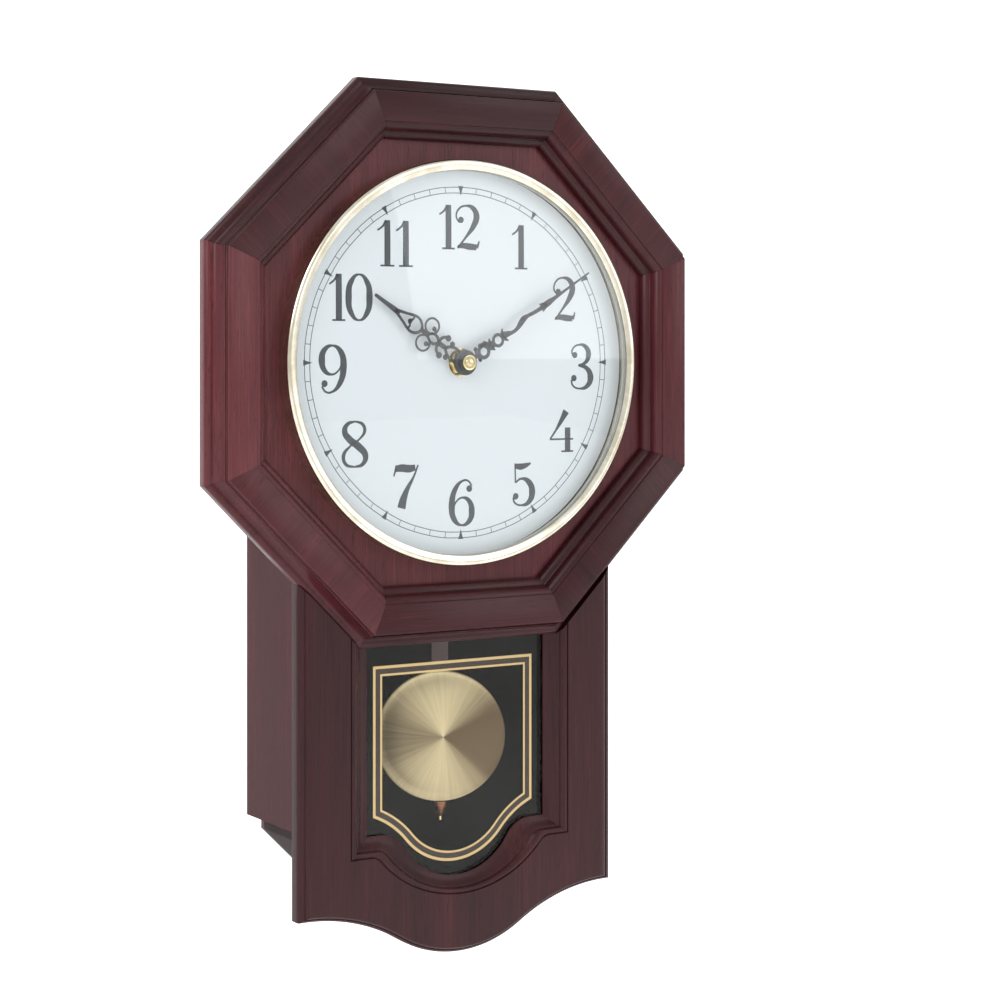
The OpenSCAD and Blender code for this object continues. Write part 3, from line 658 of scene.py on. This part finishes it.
ring = [(111.1, 64.0), (115.3, 64.0), (115.3, 72.8)]
ring += bow((113.1, 72.8), (2.2, 2.15), 0, 80, 8)
ring += [(111.6, 74.75), (110.2, 74.3), (109.5, 74.1), (109.3, 73.95), (109.4, 73.75),
         (110.4, 73.7), (110.4, 71.35), (111.1, 71.35)]
bezel = turned("gold_bezel", ring, 192)
dress(bezel, gold, "case", "gold_trim", "bezel")
print("bezel faces:", len(bezel.data.polygons))

# %% [markdown]
# The dial glass is a shallow dome, slumped over a former and 2 mm thick. Its section is two
# arcs of one centre with a ground edge. Clear glass takes most of its look from what it
# reflects, so its finish mixes a clear shader with a mirror, more of it at a glancing angle.

# %% Glass
def clear_glass(name, tint, face, edge):
    """face and edge are the shares of mirror seen straight on and at a glancing angle."""
    glass = Finish(name, tint[:3], 0.03)
    tree = glass.tree
    clear = tree.nodes.new("ShaderNodeBsdfTransparent")
    clear.inputs["Color"].default_value = tint
    mirror = tree.nodes.new("ShaderNodeBsdfGlossy")
    mirror.inputs["Roughness"].default_value = 0.03
    weight = glass.add("ShaderNodeLayerWeight", {}, {"Blend": 0.25}, "Fresnel")
    smear = glass.noise(glass.place(), 18, 2.0, 0.5)
    amount = face + weight * (edge - face) + smear * 0.01
    both = tree.nodes.new("ShaderNodeMixShader")
    tree.links.new(amount.socket, both.inputs[0])
    tree.links.new(clear.outputs[0], both.inputs[1])
    tree.links.new(mirror.outputs[0], both.inputs[2])
    tree.links.new(both.outputs[0], tree.nodes["Material Output"].inputs["Surface"])
    return glass.material


EDGE_R, EDGE_D = 110.2, 71.4        # the rim: its radius, and its back from the wall
DOME, GLASS = 8.5, 2.0             # the rise of the dome, and how thick it is
ball = (EDGE_R ** 2 + DOME ** 2) / (2 * DOME)
reach = [EDGE_R * i / 24 for i in range(25)]
outer = [(r, EDGE_D + GLASS + DOME - ball + math.sqrt(ball ** 2 - r ** 2)) for r in reach]
inner = [(r, z - GLASS) for r, z in outer]
dome = turned("dial_dome", outer + inner[::-1], closed=False)
dress(dome, clear_glass("dial_glass_clear", rgba(252, 253, 253), 0.02, 0.5), "case",
      "clear_glass", "dial_glass")
print("dome rises", DOME, "mm on a ball of", round(ball), "mm")

# %% [markdown]
# The dial is a painted aluminium disc. Its print is ink, so it is only as thick as a coat of
# paint, but it is the sharpest thing on the clock. Lines of changing width are what a pen
# makes, and a curve with a radius at each point does the same. One helper draws such pen
# lines, makes them a mesh and presses them flat. The figures, the minute track and the
# hands all use it.

# %% Pen lines
def circle_line(x, y, r, width):
    """A closed ring of eight points; with width equal to 2 r it is a full disc."""
    return {"closed": True, "line": [(x + r * math.cos(a * math.pi / 4),
                                      y + r * math.sin(a * math.pi / 4), width)
                                     for a in range(8)]}


def dot(x, y, r):
    return circle_line(x, y, r / 2, r)


def pen(name, lines, low, high, smooth=8):
    """Draw pen lines and press them flat between two heights."""
    curve = bpy.data.curves.new(name, "CURVE")
    curve.dimensions = "3D"
    curve.bevel_depth = 0.5 * MM
    curve.bevel_resolution = 2
    curve.use_fill_caps = True
    curve.resolution_u = smooth
    for item in lines:
        line = item["line"] if isinstance(item, dict) else item
        spline = curve.splines.new("BEZIER")
        spline.use_cyclic_u = isinstance(item, dict) and item.get("closed", False)
        spline.bezier_points.add(len(line) - 1)
        for knot, (x, y, width) in zip(spline.bezier_points, line):
            knot.co = (x * MM, y * MM, 0)
            knot.radius = width
            knot.handle_left_type = knot.handle_right_type = "AUTO"
    only(new_object(name, curve))
    bpy.ops.object.convert(target="MESH")
    obj = bpy.context.object
    half = (high - low) / 2 * MM
    for vertex in obj.data.vertices:
        vertex.co.z = max(-half, min(half, vertex.co.z * 3)) + (low + high) / 2 * MM
    bpy.ops.object.shade_smooth_by_angle(angle=math.radians(40))
    return obj


print("pen ready")

# %% [markdown]
# The figures are of the kind with strong stems, hairline joins and round drops at the ends.
# Each one is drawn in a box one unit wide and one high, as pen lines of x, y and width in
# millimetres, and dots for the drops. The nine is the six turned round.

# %% Figures
FIGURES = {
    "1": ([[(0.60, 0.99, 2.9), (0.61, 0.5, 3.0), (0.61, 0.01, 3.0)],
           [(0.55, 0.975, 1.6), (0.34, 0.86, 0.9), (0.05, 0.77, 0.8)],
           [(0.22, 0.014, 0.8), (1.0, 0.014, 0.8)]], []),
    "2": ([[(0.17, 0.60, 0.9), (0.03, 0.72, 0.8), (0.12, 0.90, 0.9), (0.42, 0.985, 0.9),
            (0.74, 0.92, 2.4), (0.86, 0.75, 3.2), (0.75, 0.55, 2.7), (0.45, 0.30, 1.2),
            (0.22, 0.13, 0.9), (0.08, 0.03, 0.8)],
           [(0.08, 0.05, 1.2), (0.28, 0.085, 2.4), (0.55, 0.07, 3.0), (0.86, 0.055, 2.6)],
           [(0.86, 0.05, 2.0), (0.93, 0.12, 1.0), (0.97, 0.20, 0.6)]],
          [(0.22, 0.665, 1.8)]),
    "3": ([[(0.12, 0.73, 0.9), (0.08, 0.86, 0.8), (0.42, 0.985, 0.9), (0.74, 0.91, 2.4),
            (0.82, 0.76, 2.9), (0.68, 0.59, 1.7), (0.36, 0.525, 0.8)],
           [(0.36, 0.525, 0.8), (0.74, 0.46, 2.2), (0.91, 0.27, 3.4), (0.78, 0.08, 2.3),
            (0.42, 0.012, 0.9), (0.10, 0.09, 0.9), (0.05, 0.21, 1.0)]],
          [(0.20, 0.755, 1.8), (0.16, 0.245, 1.9)]),
    "4": ([[(0.70, 0.97, 3.4), (0.50, 0.75, 2.2), (0.24, 0.49, 1.0), (0.03, 0.31, 0.8)],
           [(0.02, 0.305, 0.8), (0.99, 0.305, 0.8)],
           [(0.76, 0.58, 3.0), (0.76, 0.3, 3.0), (0.76, 0.01, 3.0)],
           [(0.50, 0.014, 0.8), (0.99, 0.014, 0.8)]], []),
    "5": ([[(0.12, 0.99, 0.7), (0.13, 0.76, 0.7), (0.14, 0.54, 0.8)],
           [(0.14, 0.54, 0.8), (0.40, 0.63, 1.0), (0.76, 0.54, 2.8), (0.90, 0.31, 3.4),
            (0.76, 0.09, 2.4), (0.42, 0.012, 0.9), (0.10, 0.08, 0.9), (0.04, 0.20, 1.0)],
           [(0.14, 0.93, 2.2), (0.36, 0.91, 3.0), (0.62, 0.94, 2.2), (0.84, 0.985, 0.5)]],
          [(0.15, 0.225, 1.9)]),
    "6": ([[(0.90, 0.86, 0.9), (0.74, 0.975, 0.9), (0.52, 0.97, 1.0), (0.24, 0.80, 2.4),
            (0.10, 0.45, 3.3), (0.20, 0.14, 2.6), (0.50, 0.012, 0.9), (0.80, 0.10, 2.4),
            (0.90, 0.31, 3.2), (0.78, 0.54, 2.2), (0.52, 0.61, 0.9), (0.30, 0.54, 0.8),
            (0.16, 0.40, 0.8)]], [(0.80, 0.80, 1.9)]),
    "7": ([[(0.04, 0.74, 0.7), (0.10, 0.87, 1.0), (0.13, 0.99, 0.7)],
           [(0.10, 0.905, 2.6), (0.34, 0.925, 3.4), (0.62, 0.905, 3.4), (0.86, 0.93, 2.6)],
           [(0.97, 0.985, 0.8), (0.80, 0.72, 1.0), (0.56, 0.45, 2.2), (0.40, 0.20, 3.6),
            (0.33, 0.01, 4.2)]], []),
    "8": ([[(0.52, 0.988, 0.8), (0.24, 0.93, 1.8), (0.13, 0.78, 2.7), (0.30, 0.61, 3.1),
            (0.66, 0.44, 3.3), (0.90, 0.25, 2.9), (0.80, 0.07, 1.8), (0.50, 0.012, 0.8)],
           [(0.52, 0.988, 0.8), (0.80, 0.92, 1.5), (0.87, 0.78, 1.6), (0.70, 0.62, 0.9),
            (0.34, 0.46, 0.9), (0.09, 0.26, 1.8), (0.18, 0.07, 1.5), (0.50, 0.012, 0.8)]],
          []),
    "0": ([{"closed": True, "line": [(0.5, 0.985, 0.8), (0.18, 0.82, 2.5), (0.09, 0.5, 3.2),
            (0.18, 0.18, 2.5), (0.5, 0.015, 0.8), (0.82, 0.18, 2.5), (0.91, 0.5, 3.2),
            (0.82, 0.82, 2.5)]}], []),
}
HOURS = {  # left, right, bottom and top of each hour, and its first figure's share of the width
    12: (-14.9, 13.1, 64.5, 89.9, 0.40), 1: (34.2, 45.2, 54.1, 79.8, 1.0),
    2: (63.3, 78.9, 24.3, 50.0, 1.0), 3: (75.3, 91.0, -15.8, 10.8, 1.0),
    4: (60.5, 77.4, -52.5, -27.9, 1.0), 5: (34.9, 50.0, -83.1, -58.2, 1.0),
    6: (-7.6, 9.0, -93.1, -66.8, 1.0), 7: (-44.5, -27.6, -82.0, -57.3, 1.0),
    8: (-77.2, -60.2, -58.1, -32.2, 1.0), 9: (-90.9, -74.0, -16.8, 9.8, 1.0),
    10: (-85.3, -57.6, 23.2, 49.4, 0.40), 11: (-55.1, -31.3, 53.9, 79.9, 0.5),
}
DIAL = 64.6          # the face of the dial plate, from the wall
COAT = 0.08          # the ink stands this far off the dial
INK = 1.28           # the figures are this much bolder than they are drawn above
HAIRLINE = 0.95      # no line of a figure is thinner
GAP = 0.6            # between the two figures of an hour


def figure_lines(figure, left, low, width, height):
    """The pen lines of one figure, put into its box."""
    turned_round = figure == "9"
    strokes, dots = FIGURES["6" if turned_round else figure]

    def spot(x, y):
        if turned_round:
            x, y = 1 - x, 1 - y
        return left + x * width, low + y * height

    lines = []
    for stroke in strokes:
        closed = isinstance(stroke, dict)
        knots = stroke["line"] if closed else stroke
        line = [(*spot(x, y), max(HAIRLINE, w * INK)) for x, y, w in knots]
        lines.append({"closed": closed, "line": line})
    return lines + [dot(*spot(x, y), r) for x, y, r in dots]


ink = coated("dial_ink", (58, 64, 70), (50, 56, 62), (68, 74, 80), (2500, 2.0, 0.5), 0.45)
for hour, (left, right, low, high, first) in HOURS.items():
    lines_drawn, start = [], left
    gap = GAP if hour > 9 else 0.0
    for figure, share in zip(str(hour), (first, 1 - first)):
        width = (right - left) * share
        lines_drawn += figure_lines(figure, start + gap / 2, low, width - gap, high - low)
        start += width
    hour_print = pen(f"figure_{hour}", lines_drawn, DIAL, DIAL + COAT)
    dress(hour_print, ink, "case", "black_metal")
print("figures printed:", len(HOURS))

# %% [markdown]
# The minute track is a ladder between two circles, with a wedge at each five minutes. A
# wedge is a pen line that narrows to a point.

# %% Minute track
RIM, STEP = 99.9, 96.6             # radii of the two circles
track = [{"closed": True, "line": [(r * math.cos(a * math.pi / 12),
                                    r * math.sin(a * math.pi / 12), 0.42)
                                   for a in range(24)]} for r in (RIM, STEP)]
for minute in range(60):
    a = math.radians(6 * minute)
    s, c = math.sin(a), math.cos(a)
    if minute % 5:
        knots = [(STEP, 0.36), (RIM, 0.36)]
    else:
        knots = [(100.6, 3.4), (98.2, 1.7), (95.4, 0.3)]
    track.append([(r * s, r * c, width) for r, width in knots])
track = pen("minute_track", track, DIAL, DIAL + COAT, 6)
dress(track, ink, "case", "black_metal")

paint = coated("dial_paint", (236, 239, 246), (230, 236, 241), (238, 242, 246),
               (420, 3.0, 0.6), 0.30, 0.1, Coat_Weight=0.15, Coat_Roughness=0.2)
finish(paint, "dial_plate")
print("track:", len(track.data.vertices), "points")

# %% [markdown]
# The hands are stamped from thin steel and blackened. Both are openwork: drops, rings and a
# pierced leaf that run into a plain tip. They are drawn with the same pen, pointing at
# twelve, and then turned to the time.

# %% Hands
def bolder(item, weight):
    """A pen line with all its widths multiplied."""
    line = item["line"] if isinstance(item, dict) else item
    return {"closed": isinstance(item, dict), "line": [(x, y, w * weight) for x, y, w in line]}


def both_sides(line):
    return [line, [(-x, y, w) for x, y, w in line]]


hour_lines = [
    [(0, 5, 2.6), (0, 7.5, 1.6)],
    *both_sides([(3.4, 5.8, 1.5), (3.5, 9.6, 1.4), (2.2, 12.8, 1.5), (0, 15.2, 1.6)]),
    *both_sides([(2.6, 12.0, 1.2), (4.0, 12.4, 1.2)]),
    dot(4.3, 12.3, 1.5), dot(-4.3, 12.3, 1.5),
    [(0, 14, 2.2), (0, 17.5, 2.4), (0, 21, 2.6)],
    *both_sides([(0, 20.5, 2.0), (3.0, 20.2, 1.5), (5.0, 18.6, 1.4), (5.6, 16.8, 1.4)]),
    dot(5.7, 16.4, 1.7), dot(-5.7, 16.4, 1.7),
    *both_sides([(0.4, 20.5, 1.6), (2.3, 23.0, 1.5), (2.4, 26.0, 1.3), (0.6, 28.4, 1.3)]),
    *both_sides([(0.2, 27.8, 1.6), (0.6, 31.0, 1.6), (0.0, 34.0, 1.8)]),
    circle_line(5.6, 29.0, 4.45, 1.05), circle_line(-5.6, 29.0, 4.45, 1.05),
    *both_sides([(2.2, 26.0, 1.3), (3.9, 25.2, 1.2), (5.0, 26.6, 1.2)]),
    dot(5.0, 27.0, 1.3), dot(-5.0, 27.0, 1.3),
    *both_sides([(0, 33.4, 1.8), (2.6, 35.0, 1.4), (4.6, 38.6, 1.3), (4.4, 41.4, 1.4),
                 (2.8, 46.0, 1.3), (1.2, 51.0, 1.4), (0.3, 54.0, 1.4)]),
    *both_sides([(4.2, 41.8, 1.2), (2.2, 41.4, 1.1), (0.2, 43.0, 1.4)]),
    dot(0, 42.6, 1.3),
    [(0, 50.6, 2.2), (0, 54, 2.7), (0, 61, 2.1), (0, 68.4, 1.7), (0, 69.3, 1.2)]]
minute_lines = [
    [(0, 3, 2.4), (0.2, 8.6, 1.6)],
    dot(3.2, 8.2, 1.1), dot(-3.4, 8.6, 1.1),
    *both_sides([(0.8, 7.6, 1.0), (3.2, 8.2, 0.9)]),
    circle_line(0.6, 12.6, 3.3, 1.6),
    dot(-3.4, 12.2, 1.3), dot(-3.0, 15.4, 1.3),
    [(-3.2, 11.4, 1.0), (-3.5, 14.0, 1.4), (-2.2, 17.2, 1.2)],
    dot(-1.2, 17.4, 1.2),
    [(0.4, 16.2, 2.6), (0.3, 18.4, 4.2), (0.2, 20.4, 3.0)],
    *both_sides([(0.8, 19.0, 1.8), (2.6, 19.0, 1.2), (3.8, 19.6, 0.6)]),
    circle_line(0.2, 24.2, 3.2, 1.35),
    [(0.1, 27.4, 2.2), (0.0, 29.0, 3.4), (0.5, 31.4, 2.4), (1.5, 35.0, 1.5), (1.4, 38.6, 1.7),
     (0.0, 42.6, 2.5), (-1.0, 45.6, 2.6), (-1.0, 49.0, 1.6), (-0.4, 53.0, 1.6), (0.0, 58.6, 1.7)],
    *both_sides([(0.4, 28.2, 2.0), (2.2, 28.8, 1.4), (4.0, 30.2, 0.5)]),
    [(-1.0, 45.0, 2.2), (-2.4, 46.6, 0.7)],
    *both_sides([(0.2, 63.6, 2.0), (1.3, 61.0, 1.4), (2.5, 59.2, 0.5)]),
    [(0, 58.0, 1.7), (0, 61.6, 2.8), (0, 65.6, 2.7), (0, 70.0, 1.7), (0, 78.0, 1.2),
     (0, 98.6, 0.75)]]

HOUR_ANGLE, MINUTE_ANGLE = 303.2, 57.8
HOUR_BACK, MINUTE_BACK = 68.4, 71.6     # the backs of the hands, from the wall
STAMPED = 0.6        # the steel the hands are stamped from
for name, strokes, weight, angle, low, body, node in (
        ("hour_hand_openwork", hour_lines, 1.22, HOUR_ANGLE, HOUR_BACK,
         "hour_wheel", "hour_hand"),
        ("minute_hand_openwork", minute_lines, 1.4, MINUTE_ANGLE, MINUTE_BACK,
         "minute_arbor", "minute_hand")):
    hand = pen(name, [bolder(line, weight) for line in strokes], low, low + STAMPED)
    apply_place(hand, Matrix.Rotation(math.radians(-angle), 4, "Z"))
    dress(hand, blacking, body, "black_metal", node)
print("hands show about ten minutes past ten")

# %% [markdown]
# The hands sit on turned parts: a black collet under each, the nut of the bush with its
# washer on the dial, and a domed cap nut on top. All are small, but they sit in the middle
# of a pale dial, so they get their own sections with rounded edges.

# %% Collets and cap
profile = [(2.62, HOUR_BACK), (7.0, HOUR_BACK), (7.25, 68.7), (7.25, 70.3), (6.9, 70.8),
           (6.0, 71.0), (3.4, 71.0), (2.62, 70.6)]
dress(turned("hour_collet", profile, 64), blacking, "hour_wheel", "black_metal")
profile = [(1.14, MINUTE_BACK), (5.0, MINUTE_BACK), (5.2, 71.9), (5.0, 72.2), (1.14, 72.25)]
dress(turned("minute_collet", profile, 64), blacking, "minute_arbor", "black_metal")
profile = [(0, 76.3), (1.2, 76.25), (2.2, 76.0), (2.9, 75.5), (3.2, 74.9), (3.4, 74.6),
           (4.3, 74.7), (4.3, 72.6), (4.0, 72.3), (1.14, 72.3), (1.14, 74.9), (0, 74.9)]
cap = turned("brass_cap", profile, 64, False)
dress(cap, brass, "minute_arbor", "bright_brass", "cap_nut")
finish(brass, "bush_washer", "bush_nut", "threaded_bush", "clip_screws")
print("centre parts turned")

# %% [markdown]
# The window is a flat pane with a printed border: a wide gold line, a brown band and a
# narrow gold line, all along the shape of the opening. Each line is a flat ribbon between
# two curves, given the thickness of ink.

# %% Window pane and its border
PANE = 57.2          # the back of the pane, from the wall; it is as thick as the dome
pane_line = whole(right_half(*between_windows(0.29), top=-146.2))
pane = new_mesh("window_pane", [(x, y, PANE) for x, y in pane_line],
                [list(range(len(pane_line)))])
edit_all(pane)
bpy.ops.mesh.extrude_region_move(TRANSFORM_OT_translate={"value": (0, 0, GLASS * MM)})
bpy.ops.object.mode_set(mode="OBJECT")
outward(pane)
dress(pane, clear_glass("window_glass_clear", rgba(250, 249, 247), 0.008, 0.2), "case",
      "clear_glass", "window_glass")


# half the width of the border, then its corner, lowest point and top below the dial
BORDER = (53.2, 255.5, 285.7, 170.2)
LOBE_R, LOBE_DEG = 41.7, 50.0      # the arc round the border's foot, and its half angle
HOLLOW_R, HOLLOW_AT = 53.0, (72.5, -BORDER[2] - 19.2)     # the arc that sweeps up from it
PRINT = 57.05        # the back of the printed lines, from the wall


def border_line(inset):
    """One edge of a printed line: the shape of the window, moved in by inset."""
    half, corner, low, top = BORDER
    lobe, bend = LOBE_R - inset, HOLLOW_R + inset
    line = bow((0, LOBE_R - low), (lobe, lobe), -90, -90 + LOBE_DEG, STEPS)
    end = math.degrees(math.acos(min(1.0, (HOLLOW_AT[0] - (half - inset)) / bend)))
    line += bow(HOLLOW_AT, (bend, bend), 180 - (90 - LOBE_DEG), 180 - end, STEPS)[1:]
    line += [(half - inset, -corner + inset), (half - inset, -top - inset), (0, -top - inset)]
    return line


def ribbon(name, outer_line, inner_line, low, high):
    """A flat strip between two half lines, mirrored and given the thickness of ink."""
    n = len(outer_line)
    pts = [(x, y, low) for x, y in outer_line] + [(x, y, low) for x, y in inner_line]
    strip = [(i, i + 1, n + i + 1, n + i) for i in range(n - 1)]
    obj = new_mesh(name, pts, strip)
    mirror = obj.modifiers.new("mirror", "MIRROR")
    mirror.use_clip = True
    mirror.merge_threshold = 1e-6
    bpy.ops.object.modifier_apply(modifier="mirror")
    outward(obj)
    ink_coat = obj.modifiers.new("coat", "SOLIDIFY")
    ink_coat.thickness = (high - low) * MM
    ink_coat.offset = 0
    bpy.ops.object.modifier_apply(modifier="coat")
    return obj


gilt = coated("gilt_ink", (230, 200, 136), (214, 182, 118), (244, 220, 164),
              (1800, 3.0, 0.6), 0.26, 0.2, 0.2)
brown_ink = coated("brown_ink", (48, 34, 30), (40, 28, 26), (58, 42, 36),
                   (600, 2.0, 0.5), 0.5)

for name, edge, far_edge, front, material, slot_name in (
        ("gilt_line_outer", 0.3, 1.9, 57.15, gilt, "gold_trim"),
        ("brown_band", 1.9, 4.9, 57.13, brown_ink, "rod_brown"),
        ("gilt_line_inner", 4.9, 6.1, 57.15, gilt, "gold_trim")):
    printed = ribbon(name, border_line(edge), border_line(far_edge), PRINT, front)
    dress(printed, material, "case", slot_name)
print("pane and border")

# %% [markdown]
# The bob is two thin brass discs rolled together at the rim. Its face was brushed while it
# turned on a spindle, which leaves very fine rings, and rings make a bright bow-tie of light
# across the middle. Rings that fine can't be told apart by eye, so that light is painted into
# the colour instead: a painted highlight in bands that run out from the centre, by the angle
# round it, with fine spokes over them. A painted shade makes the right side darker and the
# left side and the top lighter. The rings themselves go into the roughness and the bump.

# %% Bob
def brushed_disc(name, centre):
    """Brass brushed round a centre, which is given in metres on the wall. Its colour carries a
    painted bow-tie highlight and painted shade, darker on the right and lighter on the left and
    at the top.
    """
    metal = Finish(name, rgba(206, 184, 136)[:3], 0.3, 0.4)
    across, _, up = metal.axes(metal.place(shift=(-centre[0], -centre[1], -centre[2])))
    angle = up.math("ARCTAN2", across)
    far = (across * across + up * up) ** 0.5
    painted_bowtie = (angle * 2 + 0.1).math("COSINE") * -0.5 + 0.5
    shade = angle.math("COSINE") * 0.20 - angle.math("SINE") * 0.09
    ray = metal.add("ShaderNodeCombineXYZ", {}, {0: angle.math("COSINE") * 14,
                    1: angle.math("SINE") * 14, 2: far * 12})
    spokes = metal.noise(ray, 1.0, 4.0, 0.65)
    rings = metal.noise(metal.add("ShaderNodeCombineXYZ", {}, {0: far * 1500}), 1.0, 1.0, 0.5)
    # painted light: the bow-tie highlight with its spokes, less the painted shade on the right
    painted_light = (painted_bowtie * 0.80 + spokes * 0.45 - shade - 0.27).clamp()
    metal.set("Base Color", metal.mix(painted_light, rgba(108, 90, 64), rgba(250, 236, 192)))
    metal.set("Roughness", 0.30 + rings * 0.12)
    metal.bump(rings, 0.06, 0.0001)
    return metal.material


BOB_Y, BOB_R = -216.5, 37.8        # the middle of the bob below the dial's, and its radius
DRAWN_R = 36.6       # the section is drawn at this radius and then stretched to the bob's
profile = [(0, 7.6)]
profile += [(r, 1.9 + 5.7 * (1 - (r / 36.0) ** 2)) for r in (4, 8, 12, 16, 20, 24, 28, 31, 33.5)]
profile += [(35.2, 2.75), (35.9, 2.9), (36.4, 2.7), (DRAWN_R, 2.3), (DRAWN_R, 1.5),
            (36.3, 1.4), (0, 1.4)]
bob = turned("brushed_bob", [(r * BOB_R / DRAWN_R, z) for r, z in profile], closed=False)
apply_place(bob, Matrix.Translation((0, BOB_Y * MM, 0)))
centre = WALL @ SWUNG @ Vector((0, BOB_Y * MM, 5 * MM))
dress(bob, brushed_disc("brass_painted_light", centre), "pendulum", "bob_brass", "bob_face", "bob_back")
print("bob centre:", tuple(round(v, 4) for v in centre))

# %% [markdown]
# Under the bob a ribbed nut with a long cone sets the rate of the clock. The real one is
# turned from rod, so this one is spun like the other turned parts.

# %% Rating nut and rod
nut_top = BOB_Y - BOB_R - 0.3
cone = [(1.16, 0), (3.7, 0), (3.9, 0.3), (3.9, 0.9), (3.5, 1.1), (3.9, 1.4), (3.9, 2.1),
        (3.5, 2.3), (3.8, 2.6), (3.6, 3.4), (3.2, 4.4), (2.4, 6.4), (1.7, 8.3), (1.5, 8.6),
        (1.16, 8.6)]
nut = turned("rating_cone", [(r, -z) for r, z in cone], 48)
stand = Matrix.Rotation(-math.pi / 2, 4, "X")
apply_place(nut, Matrix.Translation((0, nut_top * MM, 0)) @ stand)
dress(nut, bronze, "rating_nut", "copper", "rating_nut")
finish(brass, "rating_screw", "bob_clip")

enamel = Finish("brown_enamel", rgba(95, 80, 82)[:3])
brush = enamel.noise(enamel.place((60, 60, 900)), 1.0, 3.0, 0.5)
enamel.set("Base Color", enamel.mix(brush, rgba(82, 66, 68), rgba(112, 96, 98)))
enamel.set("Roughness", 0.34 + brush * 0.2)
finish(enamel.material, "pendulum_rod")
print("rod and nut")

# %% [markdown]
# The rest is the working side: plastics, rubber, plated steel, the cells and the circuit
# board. Moulded plastic has a fine spark-eroded grain, so each of these takes a small noise
# in its tint, its roughness and its bump.

# %% Plastics and the rest
def moulded(name, first, second, rough, scale, bump=0.12, **more):
    """A moulded finish between two near tints."""
    plastic = Finish(name, rgba(*first)[:3], rough, **more)
    grain = plastic.noise(plastic.place(), scale, 3.0, 0.6)
    plastic.set("Base Color", plastic.mix(grain, rgba(*first), rgba(*second)))
    plastic.set("Roughness", rough + grain * 0.12)
    plastic.bump(grain, bump, 0.0002)
    return plastic.material


finish(moulded("black_plastic", (30, 30, 32), (44, 44, 47), 0.45, 1400),
       "movement_case", "movement_cover", "setting_knob")
finish(moulded("white_plastic", (226, 224, 214), (236, 234, 226), 0.30, 900, 0.05),
       "drive_module", "intermediate_wheel", "hour_wheel", "pendulum_hanger")
finish(moulded("red_plastic", (176, 36, 32), (196, 50, 42), 0.30, 900, 0.05),
       "chime_switch", "volume_switch")
finish(moulded("rubber", (24, 24, 24), (38, 38, 38), 0.75, 1100, 0.2), "rubber_washer")
finish(moulded("clear_silicone", (196, 196, 190), (210, 210, 205), 0.5, 500, 0.03), "glass_seal")
finish(moulded("cell_wrap", (34, 74, 120), (44, 90, 142), 0.28, 60, 0.02, Coat_Weight=0.4),
       "batteries")
finish(moulded("solder_mask", (20, 84, 48), (30, 108, 62), 0.35, 300, 0.05), "circuit_board")
finish(copper, "pendulum_coil")
finish(blacking, "speaker", "glass_clips")
finish(steel, "back_screws", "bezel_screws", "hanger_plate", "hanger_screws", "minute_arbor",
       "intermediate_post", "battery_contacts", "pendulum_bracket", "pivot_pin", "drive_magnet")
print("every node has a finish")
